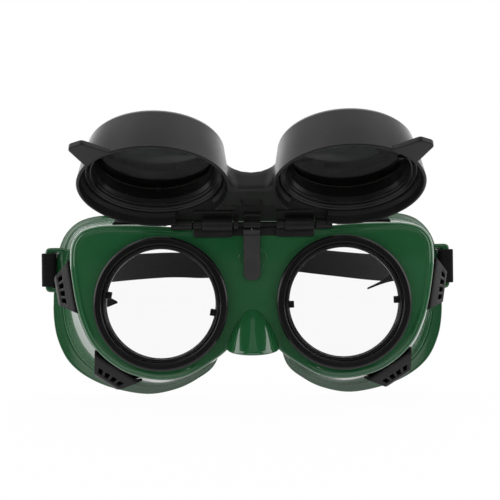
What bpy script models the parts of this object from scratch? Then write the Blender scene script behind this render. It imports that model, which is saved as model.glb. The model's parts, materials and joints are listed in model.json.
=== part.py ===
"""Flip-up welding goggles: a soft vented body with clear lenses, and a hinged front with shade lenses.

Frame: +X to the right as seen from the front, -Y the way the wearer looks, +Z up.
The origin is the middle of the face seal, level with the lens centres.
The front is modelled raised; it closes by turning about +X on the hinge axis.
"""
import math

import bmesh
import bpy
import numpy as np
from mathutils import Matrix, Vector

mm = 0.001

# Clearances and shared tools
seat_gap = 0.3 * mm
overrun = 2.0 * mm
merge = 0.00005
segments = 48
fine_segments = 16

# Lenses: the standard round size, from which the rings follow
lens_radius = 25.0 * mm
clear_lens_thickness = 2.0 * mm
shade_lens_thickness = 2.0 * mm
cover_lens_thickness = 1.0 * mm
washer_thickness = 0.5 * mm
view_ledge = 1.7 * mm
seat_ledge = 1.0 * mm
view_radius = lens_radius - view_ledge
seat_radius = lens_radius - seat_ledge

# Bezel: the threaded ring clipped into the soft body
bezel_wall = 3.45 * mm
bridge_half = 10.35 * mm
bezel_bore = lens_radius + seat_gap
bezel_radius = bezel_bore + bezel_wall
eye_half = bezel_radius + bridge_half
bezel_stand = 3.5 * mm
bezel_neck_wall = 1.3 * mm
bezel_neck = bezel_bore + bezel_neck_wall
bezel_clip_lip = 1.6 * mm
bezel_seat_thickness = 1.5 * mm
bezel_edge = 0.5 * mm
ring_recess = 1.2 * mm
ring_height = 3.3 * mm
ring_face = 0.5 * mm
lug_length = 2.0 * mm
lug_width = 3.0 * mm
lug_thickness = 1.6 * mm
lug_root = 0.8 * mm
left_ring_turn = math.radians(-10)
right_ring_turn = math.radians(2)

# Soft body: panel, walls and face flange
wall = 2.2 * mm
panel_depth = 34.2 * mm
panel_front = -panel_depth
panel_back = panel_front + wall
bezel_front = panel_front - seat_gap - bezel_stand
panel_hole = bezel_neck + seat_gap
side_margin = 10.15 * mm
top_margin = 5.35 * mm
bottom_margin = 4.05 * mm
rim_half_width = eye_half + bezel_radius + side_margin
rim_top = bezel_radius + top_margin
rim_bottom = bezel_radius + bottom_margin
side_flare = 5.6 * mm
top_flare = 2.5 * mm
bottom_flare = 5.6 * mm
flange_side = 5.0 * mm
flange_top = 2.4 * mm
flange_bottom = 3.6 * mm
flange_thickness = 1.4 * mm
edge_round = 1.4 * mm
edge_drop = 1.0 * mm
wall_start = 2.8 * mm
flange_rise = 3.6 * mm

# Nose: arch through the body and the half-cone that covers it
nose_foot_half = 10.9 * mm
nose_foot_drop = 20.0 * mm
arch_half = 9.4 * mm
arch_apex_drop = 5.2 * mm
seal_foot_half = 15.6 * mm
seal_foot_drop = 24.5 * mm
seal_apex_rise = 3.0 * mm
flange_foot_half = 15.9 * mm
flange_foot_drop = 28.0 * mm
flange_apex_drop = 0.4 * mm
cone_half = 11.0 * mm
cone_apex_drop = 2.8 * mm
cone_foot_drop = 19.6 * mm
cone_reach = 11.0 * mm
cone_wall = 1.8 * mm
cone_hem_drop = 1.4 * mm
cone_bite = 1.0 * mm
cone_first_share = 0.03
hollow_first_share = 0.16

# Hinge
hinge_drop_from_bezel = 1.0 * mm
hinge_y = bezel_front + hinge_drop_from_bezel
hinge_above_bezel = 4.85 * mm
hinge_z = bezel_radius + hinge_above_bezel
flip_angle = math.radians(118.3)
pin_radius = 1.0 * mm
pin_bore = pin_radius + seat_gap
barrel_radius = 3.0 * mm
small_knuckle_radius = 2.1 * mm
web_half_width = 34.1 * mm
barrel_left_inset = 12.9 * mm
barrel_left_end = 8.2 * mm
barrel_right_start = 14.2 * mm
barrel_right_inset = 7.5 * mm
small_knuckle_length = 3.6 * mm
barrel_left = (-web_half_width + barrel_left_inset, -barrel_left_end)
barrel_right = (barrel_right_start, web_half_width - barrel_right_inset)
small_left = (barrel_left[0] - small_knuckle_length, barrel_left[0])
small_right = (barrel_right[0] - small_knuckle_length, barrel_right[0])
bracket_plate_thickness = 1.5 * mm
bracket_plate_drop = 5.5 * mm
bracket_corner = 1.0 * mm
peg_radius = 1.2 * mm
peg_head_radius = 2.1 * mm
peg_head_thickness = 0.8 * mm
peg_inset = 3.6 * mm
peg_drop = 4.2 * mm

# Tongue: the leaf spring between the lenses
tongue_width = 7.1 * mm
tongue_length = 21.6 * mm
tongue_thickness = 1.4 * mm
tongue_block_height = 2.0 * mm
tongue_block_depth = 4.2 * mm
tongue_end_radius = 2.6 * mm
tongue_peg_share = 0.56

# Flip front
cup_rim_clearance = 2.05 * mm
cup_front_wall = 1.5 * mm
cup_rim_radius = bezel_radius + cup_rim_clearance
cup_front_radius = lens_radius + cup_front_wall
cup_depth = 19.7 * mm
cup_wall = 1.3 * mm
cup_waist_share = 0.25
cup_waist_swell = 0.4 * mm
cup_lip = 0.8 * mm
cup_front_edge = 0.5 * mm
skirt_depth = 6.6 * mm
skirt_wall = 1.35 * mm
skirt_clear_depth = 3.9 * mm
web_rear = 2.2 * mm
web_front = 8.1 * mm
web_end_rise = 1.5 * mm
web_end = hinge_z - web_end_rise
web_shoulder = 10.0 * mm
web_foot_half = 14.0 * mm
web_top = 1.8 * mm
saddle_start = 13.0 * mm
saddle_section = (
    (0.0 * mm, 8.5 * mm), (4.0 * mm, 9.05 * mm), (6.4 * mm, 10.1 * mm), (9.0 * mm, 11.3 * mm),
    (10.9 * mm, 12.5 * mm), (19.0 * mm, 15.0 * mm))
pocket_wall = 3.1 * mm
pocket_half_width = web_half_width - pocket_wall
pocket_length = 15.8 * mm
ledge_length = 2.8 * mm
ledge_inset = 0.8 * mm
ledge_spare = 0.4 * mm
ledge_left = (small_left[0] + ledge_inset, barrel_left[1] + ledge_inset)
ledge_right = (small_right[0] - ledge_spare, barrel_right[1] + ledge_spare)
knuckle_radius = 2.3 * mm
knuckle_gap = 0.5 * mm
knuckle_left = (-web_half_width, small_left[0] - knuckle_gap)
knuckle_right = (barrel_right[1] + knuckle_gap, web_half_width)
lug_left = (-7.6 * mm, -5.6 * mm)
cam_span = (-3.4 * mm, 3.8 * mm)
cam_radius = 2.0 * mm
ear_thickness = 2.2 * mm
ear_rim_step = 0.15 * mm
ear_corner = 1.0 * mm
flip_ring_rim = 2.3 * mm
flip_ring_flange = bezel_bore + flip_ring_rim
flip_ring_step = 1.0 * mm
flip_ring_bevel = 2.0 * mm

# Vent caps
vent_length = 17.0 * mm
vent_front_half = 12.2 * mm
vent_rear_half = 8.2 * mm
vent_crest_half = 6.6 * mm
vent_tail_half = 5.4 * mm
vent_crest_start = 11.0 * mm
vent_crest_end = 15.4 * mm
vent_height = 5.6 * mm
vent_front_height = 1.0 * mm
vent_tail_height = 4.2 * mm
vent_skin = 1.1 * mm
vent_floor = 1.5 * mm
vent_root = 5.0 * mm
vent_setback = 3.0 * mm
vent_window_width = 1.7 * mm
vent_window_pitch = 2.7 * mm
vent_window_length = 3.2 * mm
vent_window_setback = 0.6 * mm
vent_window_count = 4
vent_neck_half = 5.6 * mm
vent_neck_start = 4.2 * mm
vent_neck_end = 10.6 * mm
vent_neck_wall = 1.0 * mm
vent_neck_length = 3.3 * mm
vent_clip = 0.7 * mm
vent_clip_thickness = 1.0 * mm
vent_place_shares = {"top": 0.112, "side": 0.3833, "lower": 0.595}

# Strap loops and strap
strap_width = 14.6 * mm
strap_thickness = 1.2 * mm
loop_center_z = 14.4 * mm
loop_bar = 2.3 * mm
loop_outer_bar = 3.6 * mm
loop_depth = 3.0 * mm
loop_slot = 3.6 * mm
loop_slot_spare = 0.6 * mm
loop_root = 3.2 * mm
loop_reach = 4.4 * mm
strap_back = 197.0 * mm
strap_half_width = 90.0 * mm
strap_droop = 2.4 * mm
strap_join = 24.0 * mm
strap_straight = 34.0 * mm
strap_layer_gap = 1.2 * mm
tail_length = 24.0 * mm
tail_drop = 5.0 * mm
tail_turn = 12.0 * mm
adjuster_length = 9.0 * mm
adjuster_wall = 1.3 * mm
adjuster_offset = 4.0 * mm
strap_samples = 56

# Outline of the body's front rim, from the top middle to the foot of the nose, as shares of
# the rim's half width and of its height above or below the lens centres
rim_shares = [
    (0.0, 0.93), (0.256, 0.935), (0.538, 0.985), (0.744, 1.0), (0.859, 0.985), (0.942, 0.915),
    (0.990, 0.762), (1.0, 0.528), (0.987, 0.235), (0.964, -0.061), (0.931, -0.305), (0.882, -0.534),
    (0.801, -0.738), (0.686, -0.909), (0.532, -1.0), (0.385, -0.970), (0.254, -0.811)]
# Outline of the wall's rear end and of the flange, with the same points
wall_end_shares = [
    (0.0, 0.956), (0.251, 0.973), (0.526, 0.989), (0.730, 1.0), (0.847, 0.970), (0.927, 0.883),
    (0.975, 0.716), (0.995, 0.464), (1.0, 0.137), (0.993, -0.156), (0.967, -0.391), (0.914, -0.612),
    (0.825, -0.792), (0.694, -0.927), (0.526, -1.0), (0.378, -0.943), (0.258, -0.802)]
flange_shares = [
    (0.0, 0.962), (0.248, 0.974), (0.508, 0.990), (0.711, 1.0), (0.830, 0.959), (0.905, 0.856),
    (0.957, 0.682), (0.986, 0.423), (1.0, 0.077), (0.998, -0.214), (0.975, -0.440), (0.921, -0.655),
    (0.828, -0.817), (0.694, -0.936), (0.519, -1.0), (0.372, -0.943), (0.262, -0.824)]
# Finger ear, from its root in the cup wall to its tip, as shares of the cup's rim radius
ear_shares = [(0.66, 0.42), (0.828, 0.59), (0.98, 0.925), (0.96, 0.985), (0.80, 1.068), (0.458, 0.857), (0.30, 0.70)]
# Depth of the face seal behind the panel at the same points and round the nose, as shares
seal_shares = [
    0.65, 0.68, 0.74, 0.80, 0.87, 0.93, 0.97, 1.0, 1.0, 1.0, 0.985, 0.955,
    0.915, 0.87, 0.825, 0.765, 0.68, 0.575, 0.49, 0.42, 0.375, 0.36]
arch_steps = (0.0, 0.25, 0.5, 0.75, 1.0)
span_samples = 2

collection = bpy.data.collections.new("flip_up_welding_goggles")
cutters = bpy.data.collections.new("cutters")


def clear_scene():
    """Remove whatever the new scene holds and link the two collections."""
    for item in list(bpy.data.objects):
        bpy.data.objects.remove(item)
    bpy.context.scene.collection.children.link(collection)
    bpy.context.scene.collection.children.link(cutters)


def material(name, color, roughness, metallic=0.0, alpha=1.0):
    """A Principled material with the part's plain colour."""
    mat = bpy.data.materials.new(name)
    mat.use_nodes = True
    shader = mat.node_tree.nodes["Principled BSDF"]
    shader.inputs["Base Color"].default_value = (*color, 1.0)
    shader.inputs["Roughness"].default_value = roughness
    shader.inputs["Metallic"].default_value = metallic
    shader.inputs["Alpha"].default_value = alpha
    return mat


def add_object(name, mesh, mat=None, parent=None):
    """Link a mesh as a part, or as a cutter when it has no material."""
    obj = bpy.data.objects.new(name, mesh)
    if mat is None:
        cutters.objects.link(obj)
        obj.hide_render = True
        obj.display_type = "WIRE"
    else:
        collection.objects.link(obj)
        mesh.materials.append(mat)
    obj.parent = parent
    return obj


def mesh_from(bm, name):
    """Turn a bmesh into a mesh with its faces pointing out."""
    bmesh.ops.recalc_face_normals(bm, faces=bm.faces)
    mesh = bpy.data.meshes.new(name)
    bm.to_mesh(mesh)
    bm.free()
    return mesh


def smooth(obj, degrees=35):
    """Shade a round piece smooth, with its true edges kept sharp."""
    obj.data.shade_smooth()
    obj.data.set_sharp_from_angle(angle=math.radians(degrees))


def boolean(obj, other, operation="DIFFERENCE"):
    """Add an exact Boolean modifier."""
    modifier = obj.modifiers.new(other.name, "BOOLEAN")
    modifier.operation = operation
    modifier.solver = "EXACT"
    modifier.object = other


def box(name, low, high, mat=None, parent=None):
    """A box between two corners."""
    low, high = Vector(low), Vector(high)
    bm = bmesh.new()
    bmesh.ops.create_cube(bm, size=1.0, matrix=Matrix.Diagonal((*(high - low), 1.0)))
    obj = add_object(name, mesh_from(bm, name), mat, parent)
    obj.location = (low + high) / 2
    return obj


def rod(name, radius, start, end, mat=None, parent=None, sides=fine_segments, end_radius=None):
    """A round bar or cone between two points."""
    start, end = Vector(start), Vector(end)
    bm = bmesh.new()
    bmesh.ops.create_cone(bm, cap_ends=True, segments=sides, radius1=radius,
                          radius2=radius if end_radius is None else end_radius,
                          depth=(end - start).length)
    obj = add_object(name, mesh_from(bm, name), mat, parent)
    obj.location = (start + end) / 2
    obj.rotation_euler = (end - start).to_track_quat("Z", "Y").to_euler()
    return obj


def turned(name, profile, center, mat=None, parent=None, sides=segments):
    """Turn a closed profile of (radius, forward) points about an axis along -Y."""
    mesh = bpy.data.meshes.new(name)
    points = [(radius, 0.0, forward) for radius, forward in profile]
    count = len(points)
    mesh.from_pydata(points, [(i, (i + 1) % count) for i in range(count)], [])
    obj = add_object(name, mesh, mat, parent)
    obj.location = center
    obj.rotation_euler = (math.pi / 2, 0.0, 0.0)
    screw = obj.modifiers.new("Turn", "SCREW")
    screw.steps = screw.render_steps = sides
    screw.use_merge_vertices = True
    screw.merge_threshold = merge
    screw.use_smooth_shade = True
    return obj


def disc(name, radius, thickness, center, mat, parent=None):
    """A flat round lens, its back face at the given centre."""
    center = Vector(center)
    obj = rod(name, radius, center, center - Vector((0.0, thickness, 0.0)), mat, parent, segments)
    smooth(obj)
    return obj


def plate(name, outline, front, back, mat=None, parent=None):
    """A flat plate with an (x, z) outline, between two depths: a filled 2D curve made a mesh."""
    curve = bpy.data.curves.new(name, "CURVE")
    curve.dimensions = "2D"
    curve.fill_mode = "BOTH"
    curve.extrude = abs(back - front) / 2
    spline = curve.splines.new("POLY")
    spline.points.add(len(outline) - 1)
    for point, (x, z) in zip(spline.points, outline):
        point.co = (x, z, 0.0, 1.0)
    spline.use_cyclic_u = True
    holder = bpy.data.objects.new(name + "_curve", curve)
    cutters.objects.link(holder)
    graph = bpy.context.evaluated_depsgraph_get()
    flat = bpy.data.meshes.new_from_object(holder.evaluated_get(graph))
    bpy.data.objects.remove(holder)
    bm = bmesh.new()
    bm.from_mesh(flat)
    bpy.data.meshes.remove(flat)
    bmesh.ops.remove_doubles(bm, verts=bm.verts, dist=merge)
    obj = add_object(name, mesh_from(bm, name), mat, parent)
    obj.location = (0.0, (front + back) / 2, 0.0)
    obj.rotation_euler = (math.pi / 2, 0.0, 0.0)
    return obj


def bar(name, outline, low, high, parent):
    """A bar with an (x, y) outline, between two heights."""
    bm = bmesh.new()
    face = bm.faces.new([bm.verts.new((x, y, low)) for x, y in outline])
    moved = bmesh.ops.extrude_face_region(bm, geom=[face])["geom"]
    bmesh.ops.translate(bm, verts=[v for v in moved if isinstance(v, bmesh.types.BMVert)],
                        vec=(0.0, 0.0, high - low))
    return add_object(name, mesh_from(bm, name), parent=parent)


def rounded(points, radius, steps=4):
    """Round every corner of an outline with an arc of about the given radius."""
    result = []
    count = len(points)
    for i in range(count):
        before, corner, after = (Vector(points[k % count]) for k in (i - 1, i, i + 1))
        toward, away = (before - corner).normalized(), (after - corner).normalized()
        reach = min(radius, (before - corner).length / 2, (after - corner).length / 2)
        start, end = corner + toward * reach, corner + away * reach
        for k in range(steps + 1):
            t = k / steps
            result.append(tuple(start * (1 - t) ** 2 + corner * 2 * t * (1 - t) + end * t ** 2))
    return result


def loft(name, loops, mat=None, parent=None):
    """Join closed loops of equal length into a skin and close both ends."""
    bm = bmesh.new()
    rows = [[bm.verts.new(point) for point in loop] for loop in loops]
    count = len(rows[0])
    for row, following in zip(rows, rows[1:]):
        for i in range(count):
            k = (i + 1) % count
            bm.faces.new((row[i], row[k], following[k], following[i]))
    bmesh.ops.triangulate(bm, faces=bm.faces)
    bm.faces.new(rows[0])
    bm.faces.new(rows[-1])
    return add_object(name, mesh_from(bm, name), mat, parent)


def closed_spline(points, samples=span_samples):
    """Catmull-Rom points round a closed loop."""
    points = np.asarray(points, float)
    rows = [np.roll(points, shift, axis=0) for shift in (1, 0, -1, -2)]
    result = []
    for k in range(samples):
        t = k / samples
        weights = (-t + 2 * t ** 2 - t ** 3, 2 - 5 * t ** 2 + 3 * t ** 3,
                   t + 4 * t ** 2 - 3 * t ** 3, t ** 3 - t ** 2)
        result.append(sum(w * row for w, row in zip(weights, rows)) / 2)
    return np.stack(result, axis=1).reshape(-1, points.shape[1])


def arch_points(foot_half, foot_z, apex_z):
    """Points of a parabola from the nose's foot to its apex."""
    return [(foot_half * (1 - t), apex_z - (apex_z - foot_z) * (1 - t) ** 2) for t in arch_steps]


def half_outline(shares, half_width, top, bottom, arch):
    """The right half of an outline, from the top middle round to the nose's apex."""
    outer = [(x * half_width, z * (top if z > 0 else bottom)) for x, z in shares]
    return outer + arch


def full_outline(half):
    """Mirror a right half and draw a smooth closed loop through it."""
    half = [tuple(point) for point in half]
    left = [(-p[0], *p[1:]) for p in reversed(half[1:-1])]
    return closed_spline(half + left)


rim_arch = [(nose_foot_half, -nose_foot_drop)] + arch_points(
    arch_half, -cone_foot_drop, -arch_apex_drop)[1:]
rim_half = half_outline(rim_shares, rim_half_width, rim_top, rim_bottom, rim_arch)
wall_half = half_outline(
    wall_end_shares, rim_half_width + side_flare, rim_top + top_flare, rim_bottom + bottom_flare,
    arch_points(seal_foot_half, -seal_foot_drop, seal_apex_rise))
flange_half = half_outline(
    flange_shares, rim_half_width + side_flare + flange_side, rim_top + top_flare + flange_top,
    rim_bottom + bottom_flare + flange_bottom,
    arch_points(flange_foot_half, -flange_foot_drop, -flange_apex_drop))
seal_half = [panel_front + share * panel_depth for share in seal_shares]

stations = [(*rim, *end, *edge, depth)
            for rim, end, edge, depth in zip(rim_half, wall_half, flange_half, seal_half)]
skin = full_outline([(s[0], s[1], s[6]) for s in stations])
rim_loop = full_outline(rim_half)
wall_loop = full_outline(wall_half)
flange_loop = full_outline(flange_half)
seal_depths = skin[:, 2]


def outward(loop):
    """Unit normals that point out of a clockwise (x, z) loop."""
    along = np.roll(loop, -1, axis=0) - np.roll(loop, 1, axis=0)
    along /= np.linalg.norm(along, axis=1, keepdims=True)
    return np.stack([-along[:, 1], along[:, 0]], axis=1)


def level(loop, offset, depths):
    """A loop moved out by an offset and laid at its depths."""
    moved = loop + outward(loop) * offset
    depths = np.broadcast_to(depths, len(loop))
    return [(x, y, z) for (x, z), y in zip(moved, depths)]


def body_loops(offset=0.0):
    """The outer skin of the body from the panel to the flange, moved out by an offset."""
    start = panel_front + wall_start
    middle = (rim_loop + wall_loop) / 2
    return [
        level(rim_loop, offset - edge_round, panel_front - offset),
        level(rim_loop, offset, panel_front + edge_drop),
        level(rim_loop, offset, start),
        level(middle, offset, (start + seal_depths - flange_rise) / 2),
        level(wall_loop, offset, seal_depths - flange_rise),
        level(flange_loop, offset, seal_depths - flange_thickness),
        level(flange_loop, offset, seal_depths)]


def body_inner_loops():
    """The inner skin from the face seal back to the panel."""
    start = panel_front + wall_start
    middle = (rim_loop + wall_loop) / 2
    return [
        level(wall_loop, -wall, seal_depths),
        level(wall_loop, -wall, seal_depths - flange_rise),
        level(middle, -wall, (start + seal_depths - flange_rise) / 2),
        level(rim_loop, -wall, start + wall / 2),
        level(rim_loop, -wall - edge_round, panel_back)]


def cone_loops(half, apex_drop, reach, back, foot_drop, first_share, rows=7, columns=13):
    """Half-ellipse sections of the nose cone, from its apex down to its hem."""
    loops = []
    for share in np.linspace(first_share, 1.0, rows) ** 1.5:
        z = -apex_drop - (foot_drop - apex_drop) * share
        width, forward = half * math.sqrt(share), reach * share
        loop = [(width * math.cos(a), panel_front - forward * math.sin(a),
                 z - cone_hem_drop * share * math.sin(a))
                for a in np.linspace(0.0, math.pi, columns)]
        loops.append(loop + [(-width, back, z), (width, back, z)])
    return loops


def make_body(mat, vents):
    """The soft green moulding: panel, walls, flange, nose cone, strap loops."""
    body = loft("mask_body", body_loops() + body_inner_loops(), mat)
    for side in (-1, 1):
        loop = make_loop(side)
        boolean(body, loop, "UNION")
        boolean(body, make_slot(side))
    for side in (-1, 1):
        hole = rod("panel_hole", panel_hole, (side * eye_half, panel_front - overrun, 0.0),
                   (side * eye_half, panel_back + overrun, 0.0), sides=segments)
        boolean(body, hole)
    for x in bracket_pegs("left") + bracket_pegs("right"):
        boolean(body, rod("bracket_peg_hole", peg_radius + seat_gap,
                          (x, panel_front - overrun, hinge_z - peg_drop),
                          (x, panel_back + overrun, hinge_z - peg_drop)))
    boolean(body, rod("tongue_peg_hole", peg_radius + seat_gap,
                      (0.0, panel_front - overrun, tongue_peg_z()),
                      (0.0, panel_back + overrun, tongue_peg_z())))
    for vent in vents:
        hole = (vent_neck_half + seat_gap, vent_neck_start - seat_gap, vent_neck_end + seat_gap)
        boolean(body, vent_block("vent_hole", vent, [(*hole, vent_root), (*hole, -vent_root)]))
    cone = loft("nose_cone", cone_loops(
        cone_half, cone_apex_drop, cone_reach, panel_front + cone_bite, cone_foot_drop,
        cone_first_share))
    boolean(body, cone, "UNION")
    hollow = loft("nose_hollow", cone_loops(
        cone_half - cone_wall - seat_gap, arch_apex_drop + cone_bite, cone_reach - cone_wall,
        panel_front + cone_bite + overrun, cone_foot_drop + overrun, hollow_first_share))
    boolean(body, hollow)
    smooth(body)
    return body


def loop_edge():
    """The flange's x at the middle of the strap loop."""
    order = np.argsort(flange_loop[:, 1])
    right = [i for i in order if flange_loop[i, 0] > rim_half_width / 2]
    return float(np.interp(loop_center_z, flange_loop[right, 1], flange_loop[right, 0]))


loop_outer = loop_edge() + loop_reach
bar_inner = loop_outer - loop_outer_bar
slot_inner = bar_inner - loop_slot
slot_half = strap_width / 2 + loop_slot_spare
loop_back = 0.0


def make_loop(side):
    """The tab at the temple that carries the strap."""
    tall = slot_half + loop_bar
    x0, x1 = slot_inner - loop_root, loop_outer
    points = [(side * x, loop_center_z + z) for x, z in ((x0, -tall), (x1, -tall), (x1, tall), (x0, tall))]
    return plate("strap_tab", rounded(points, loop_bar), loop_back - loop_depth, loop_back)


def make_slot(side):
    """The slot that the strap passes through."""
    xs = sorted((side * slot_inner, side * bar_inner))
    return box("strap_slot", (xs[0], loop_back - loop_depth - overrun, loop_center_z - slot_half),
               (xs[1], loop_back + overrun, loop_center_z + slot_half))


def bracket_pegs(side):
    """The x places of a hinge bracket's two pegs."""
    low, high = (small_left[0], barrel_left[1]) if side == "left" else (small_right[0], barrel_right[1])
    return [low + peg_inset, high - peg_inset]


def tongue_peg_z():
    """Height of the tongue's peg."""
    return tongue_top() - tongue_length * tongue_peg_share


def tongue_top():
    """Top of the tongue, just under the cam."""
    return hinge_z - cam_radius - seat_gap


def vent_frame(side, place_share):
    """Place of a vent on the wall: origin, along the outline, back along the wall, outward."""
    index = place_share * (len(rim_half) - 1) * span_samples
    low = int(index)
    part = index - low

    def sample(loop):
        return loop[low] * (1 - part) + loop[low + 1] * part

    rim, end = sample(rim_loop), sample(wall_loop)
    start = Vector((rim[0], panel_front + wall_start, rim[1]))
    depth = sample(seal_depths) - flange_rise
    stop = Vector((end[0], depth, end[1]))
    back = (stop - start).normalized()
    step = sample(np.roll(rim_loop, -1, axis=0)) - sample(np.roll(rim_loop, 1, axis=0))
    along = Vector((step[0], 0.0, step[1])).normalized()
    out = back.cross(along).normalized()
    if out.dot(Vector((rim[0], 0.0, rim[1]))) < 0:
        out.negate()
    along = back.cross(out)
    origin = start + back * (vent_setback - wall_start)
    columns = [along, back, out]
    if side < 0:
        columns = [Vector((-c.x, c.y, c.z)) for c in columns]
        origin = Vector((-origin.x, origin.y, origin.z))
        columns[0].negate()
    frame = Matrix.Identity(4)
    for k, column in enumerate(columns):
        frame.col[k][:3] = column
    frame.col[3][:3] = origin
    return frame


def vent_block(name, frame, rows):
    """A solid through stacked rectangles in a vent's own directions: half width, back range, height."""
    loops = [[(-u, v0, w), (u, v0, w), (u, v1, w), (-u, v1, w)] for u, v0, v1, w in rows]
    obj = loft(name, loops)
    obj.matrix_world = frame
    return obj


def vent_windows(name, frame):
    """The row of small windows across the crest, as one cutter."""
    bm = bmesh.new()
    middle = (vent_window_count - 1) / 2
    v = vent_crest_start + vent_window_setback + vent_window_length / 2
    low, high = vent_floor + seat_gap, vent_height + overrun
    size = Matrix.Diagonal((vent_window_width, vent_window_length, high - low, 1.0))
    for k in range(vent_window_count):
        place = Matrix.Translation(((k - middle) * vent_window_pitch, v, (low + high) / 2))
        bmesh.ops.create_cube(bm, size=1.0, matrix=place @ size)
    obj = add_object(name, mesh_from(bm, name))
    obj.matrix_world = frame
    return obj


def vent_solid(name, frame, inset, floor, mat=None):
    """The hood's wedge, from its thin front edge to its crest and tail, drawn in by an inset."""
    rows = [(inset, vent_front_half, vent_front_half - vent_skin, vent_front_height),
            (vent_crest_start, (vent_front_half + vent_rear_half) / 2, vent_crest_half, vent_height),
            (vent_crest_end, vent_rear_half, vent_tail_half, vent_height),
            (vent_length - inset, vent_rear_half, vent_tail_half, vent_tail_height)]
    loops = []
    for v, base, top, height in rows:
        base, top, height = base - inset, top - inset, max(height - inset, floor + seat_gap)
        loops.append([(-base, v, floor), (base, v, floor), (top, v, height), (-top, v, height)])
    obj = loft(name, loops, mat)
    obj.matrix_world = frame
    return obj


def make_vent(name, frame, keep_out, mat):
    """A louvred vent cap: hood with windows, hollow neck through the wall, clip inside."""
    cap = vent_solid(name, frame, 0.0, -vent_root, mat)
    boolean(cap, keep_out)
    boolean(cap, vent_solid(name + "_hollow", frame, vent_skin, vent_floor))
    boolean(cap, vent_windows(name + "_windows", frame))
    clip_top, clip_end = -vent_neck_length, -vent_neck_length - vent_clip_thickness
    neck = (vent_neck_half, vent_neck_start, vent_neck_end)
    clip = (vent_neck_half + vent_clip, vent_neck_start - vent_clip, vent_neck_end + vent_clip)
    boolean(cap, vent_block(name + "_neck", frame, [
        (*neck, vent_floor - seat_gap), (*neck, clip_top), (*clip, clip_top), (*clip, clip_end)]), "UNION")
    bore = (vent_neck_half - vent_neck_wall, vent_neck_start + vent_neck_wall, vent_neck_end - vent_neck_wall)
    boolean(cap, vent_block(name + "_bore", frame, [
        (*bore, vent_floor + seat_gap), (*bore, clip_end - overrun)]))
    return cap


def bezel_profile():
    """Radius and forward distance from the bezel's front plane, outer side first."""
    rear_clip = -(bezel_stand + 2 * seat_gap + wall)
    seat_front = -(ring_recess + ring_height + clear_lens_thickness + washer_thickness + 3 * seat_gap)
    end = seat_front - bezel_seat_thickness
    return [
        (bezel_radius - bezel_edge, 0.0), (bezel_radius, -bezel_edge), (bezel_radius, -bezel_stand),
        (bezel_neck, -bezel_stand), (bezel_neck, rear_clip), (bezel_neck + bezel_clip_lip, rear_clip),
        (bezel_neck + bezel_clip_lip, (rear_clip + end) / 2), (bezel_neck, end), (seat_radius, end),
        (seat_radius, seat_front), (bezel_bore, seat_front), (bezel_bore, 0.0)]


def make_eye(side, name, turn, mats):
    """Bezel, retaining ring with lugs, clear lens and washer of one eye."""
    center = Vector((side * eye_half, bezel_front, 0.0))
    turned(f"bezel_{name}", bezel_profile(), center, mats["black"])
    ring = turned(f"lens_ring_{name}", [
        (lens_radius, -ring_recess), (lens_radius, -ring_recess - ring_height),
        (view_radius, -ring_recess - ring_height), (view_radius, -ring_recess - ring_height / 2),
        (lens_radius - ring_face, -ring_recess)], center, mats["black"])
    for angle in (turn, turn + math.pi):
        lug = box(f"lug_{name}", (view_radius - lug_length, -lug_width / 2, 0.0),
                  (view_radius + lug_root, lug_width / 2, lug_thickness))
        place = Matrix.Translation(center + Vector((0.0, ring_recess + ring_height - seat_gap, 0.0)))
        turn_about = Matrix.Rotation(math.pi / 2, 4, "X") @ Matrix.Rotation(angle, 4, "Z")
        lug.matrix_world = place @ turn_about @ Matrix.Translation(lug.location)
        boolean(ring, lug, "UNION")
    depth = ring_recess + ring_height + seat_gap
    disc(f"clear_lens_{name}", lens_radius, clear_lens_thickness,
         center + Vector((0.0, depth + clear_lens_thickness, 0.0)), mats["clear"])
    front = -(depth + clear_lens_thickness + seat_gap)
    turned(f"lens_washer_{name}", washer_profile(front), center, mats["fibre"])


def washer_profile(front):
    """A thin flat ring behind the given forward distance."""
    return [(lens_radius, front), (lens_radius, front - washer_thickness),
            (seat_radius, front - washer_thickness), (seat_radius, front)]


def make_bracket(name, mat):
    """A hinge bracket: plate on the panel, barrel and smaller knuckle on the pin, two pegs."""
    barrel, small = (barrel_left, small_left) if name == "left" else (barrel_right, small_right)
    back = panel_front - seat_gap
    bracket = plate(f"hinge_bracket_{name}", rounded(
        [(small[0], hinge_z - bracket_plate_drop), (barrel[1], hinge_z - bracket_plate_drop),
         (barrel[1], hinge_z), (small[0], hinge_z)], bracket_corner), back - bracket_plate_thickness, back, mat)
    axis = Vector((0.0, hinge_y, hinge_z))
    for part, radius, span in (("barrel", barrel_radius, barrel), ("knuckle", small_knuckle_radius, small)):
        solid = rod(f"{part}_{name}", radius, axis + Vector((span[0], 0, 0)), axis + Vector((span[1], 0, 0)),
                    sides=24)
        boolean(bracket, solid, "UNION")
    arm = box(f"arm_{name}", (small[0], hinge_y, hinge_z - small_knuckle_radius),
              (small[1], back - seat_gap, hinge_z))
    boolean(bracket, arm, "UNION")
    for x in bracket_pegs(name):
        z = hinge_z - peg_drop
        boolean(bracket, rod(f"peg_{name}", peg_radius, (x, back - bracket_plate_thickness / 2, z),
                             (x, panel_back - seat_gap, z)), "UNION")
    bore_pin(bracket, small[0] - overrun, barrel[1] + overrun)
    smooth(bracket)


def add_peg(obj, x, z, front):
    """A peg through the panel with a head inside."""
    inside = panel_back + seat_gap
    peg = rod(obj.name + "_peg", peg_radius, (x, front, z), (x, inside + peg_head_thickness / 2, z))
    head = rod(obj.name + "_peg_head", peg_head_radius, (x, inside, z), (x, inside + peg_head_thickness, z))
    boolean(obj, peg, "UNION")
    boolean(obj, head, "UNION")


def bore_pin(obj, x0, x1, parent=None):
    """Bore for the hinge pin, along X."""
    y, z = (0.0, 0.0) if parent else (hinge_y, hinge_z)
    boolean(obj, rod(obj.name + "_pin_bore", pin_bore, (x0, y, z), (x1, y, z), parent=parent))


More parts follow.
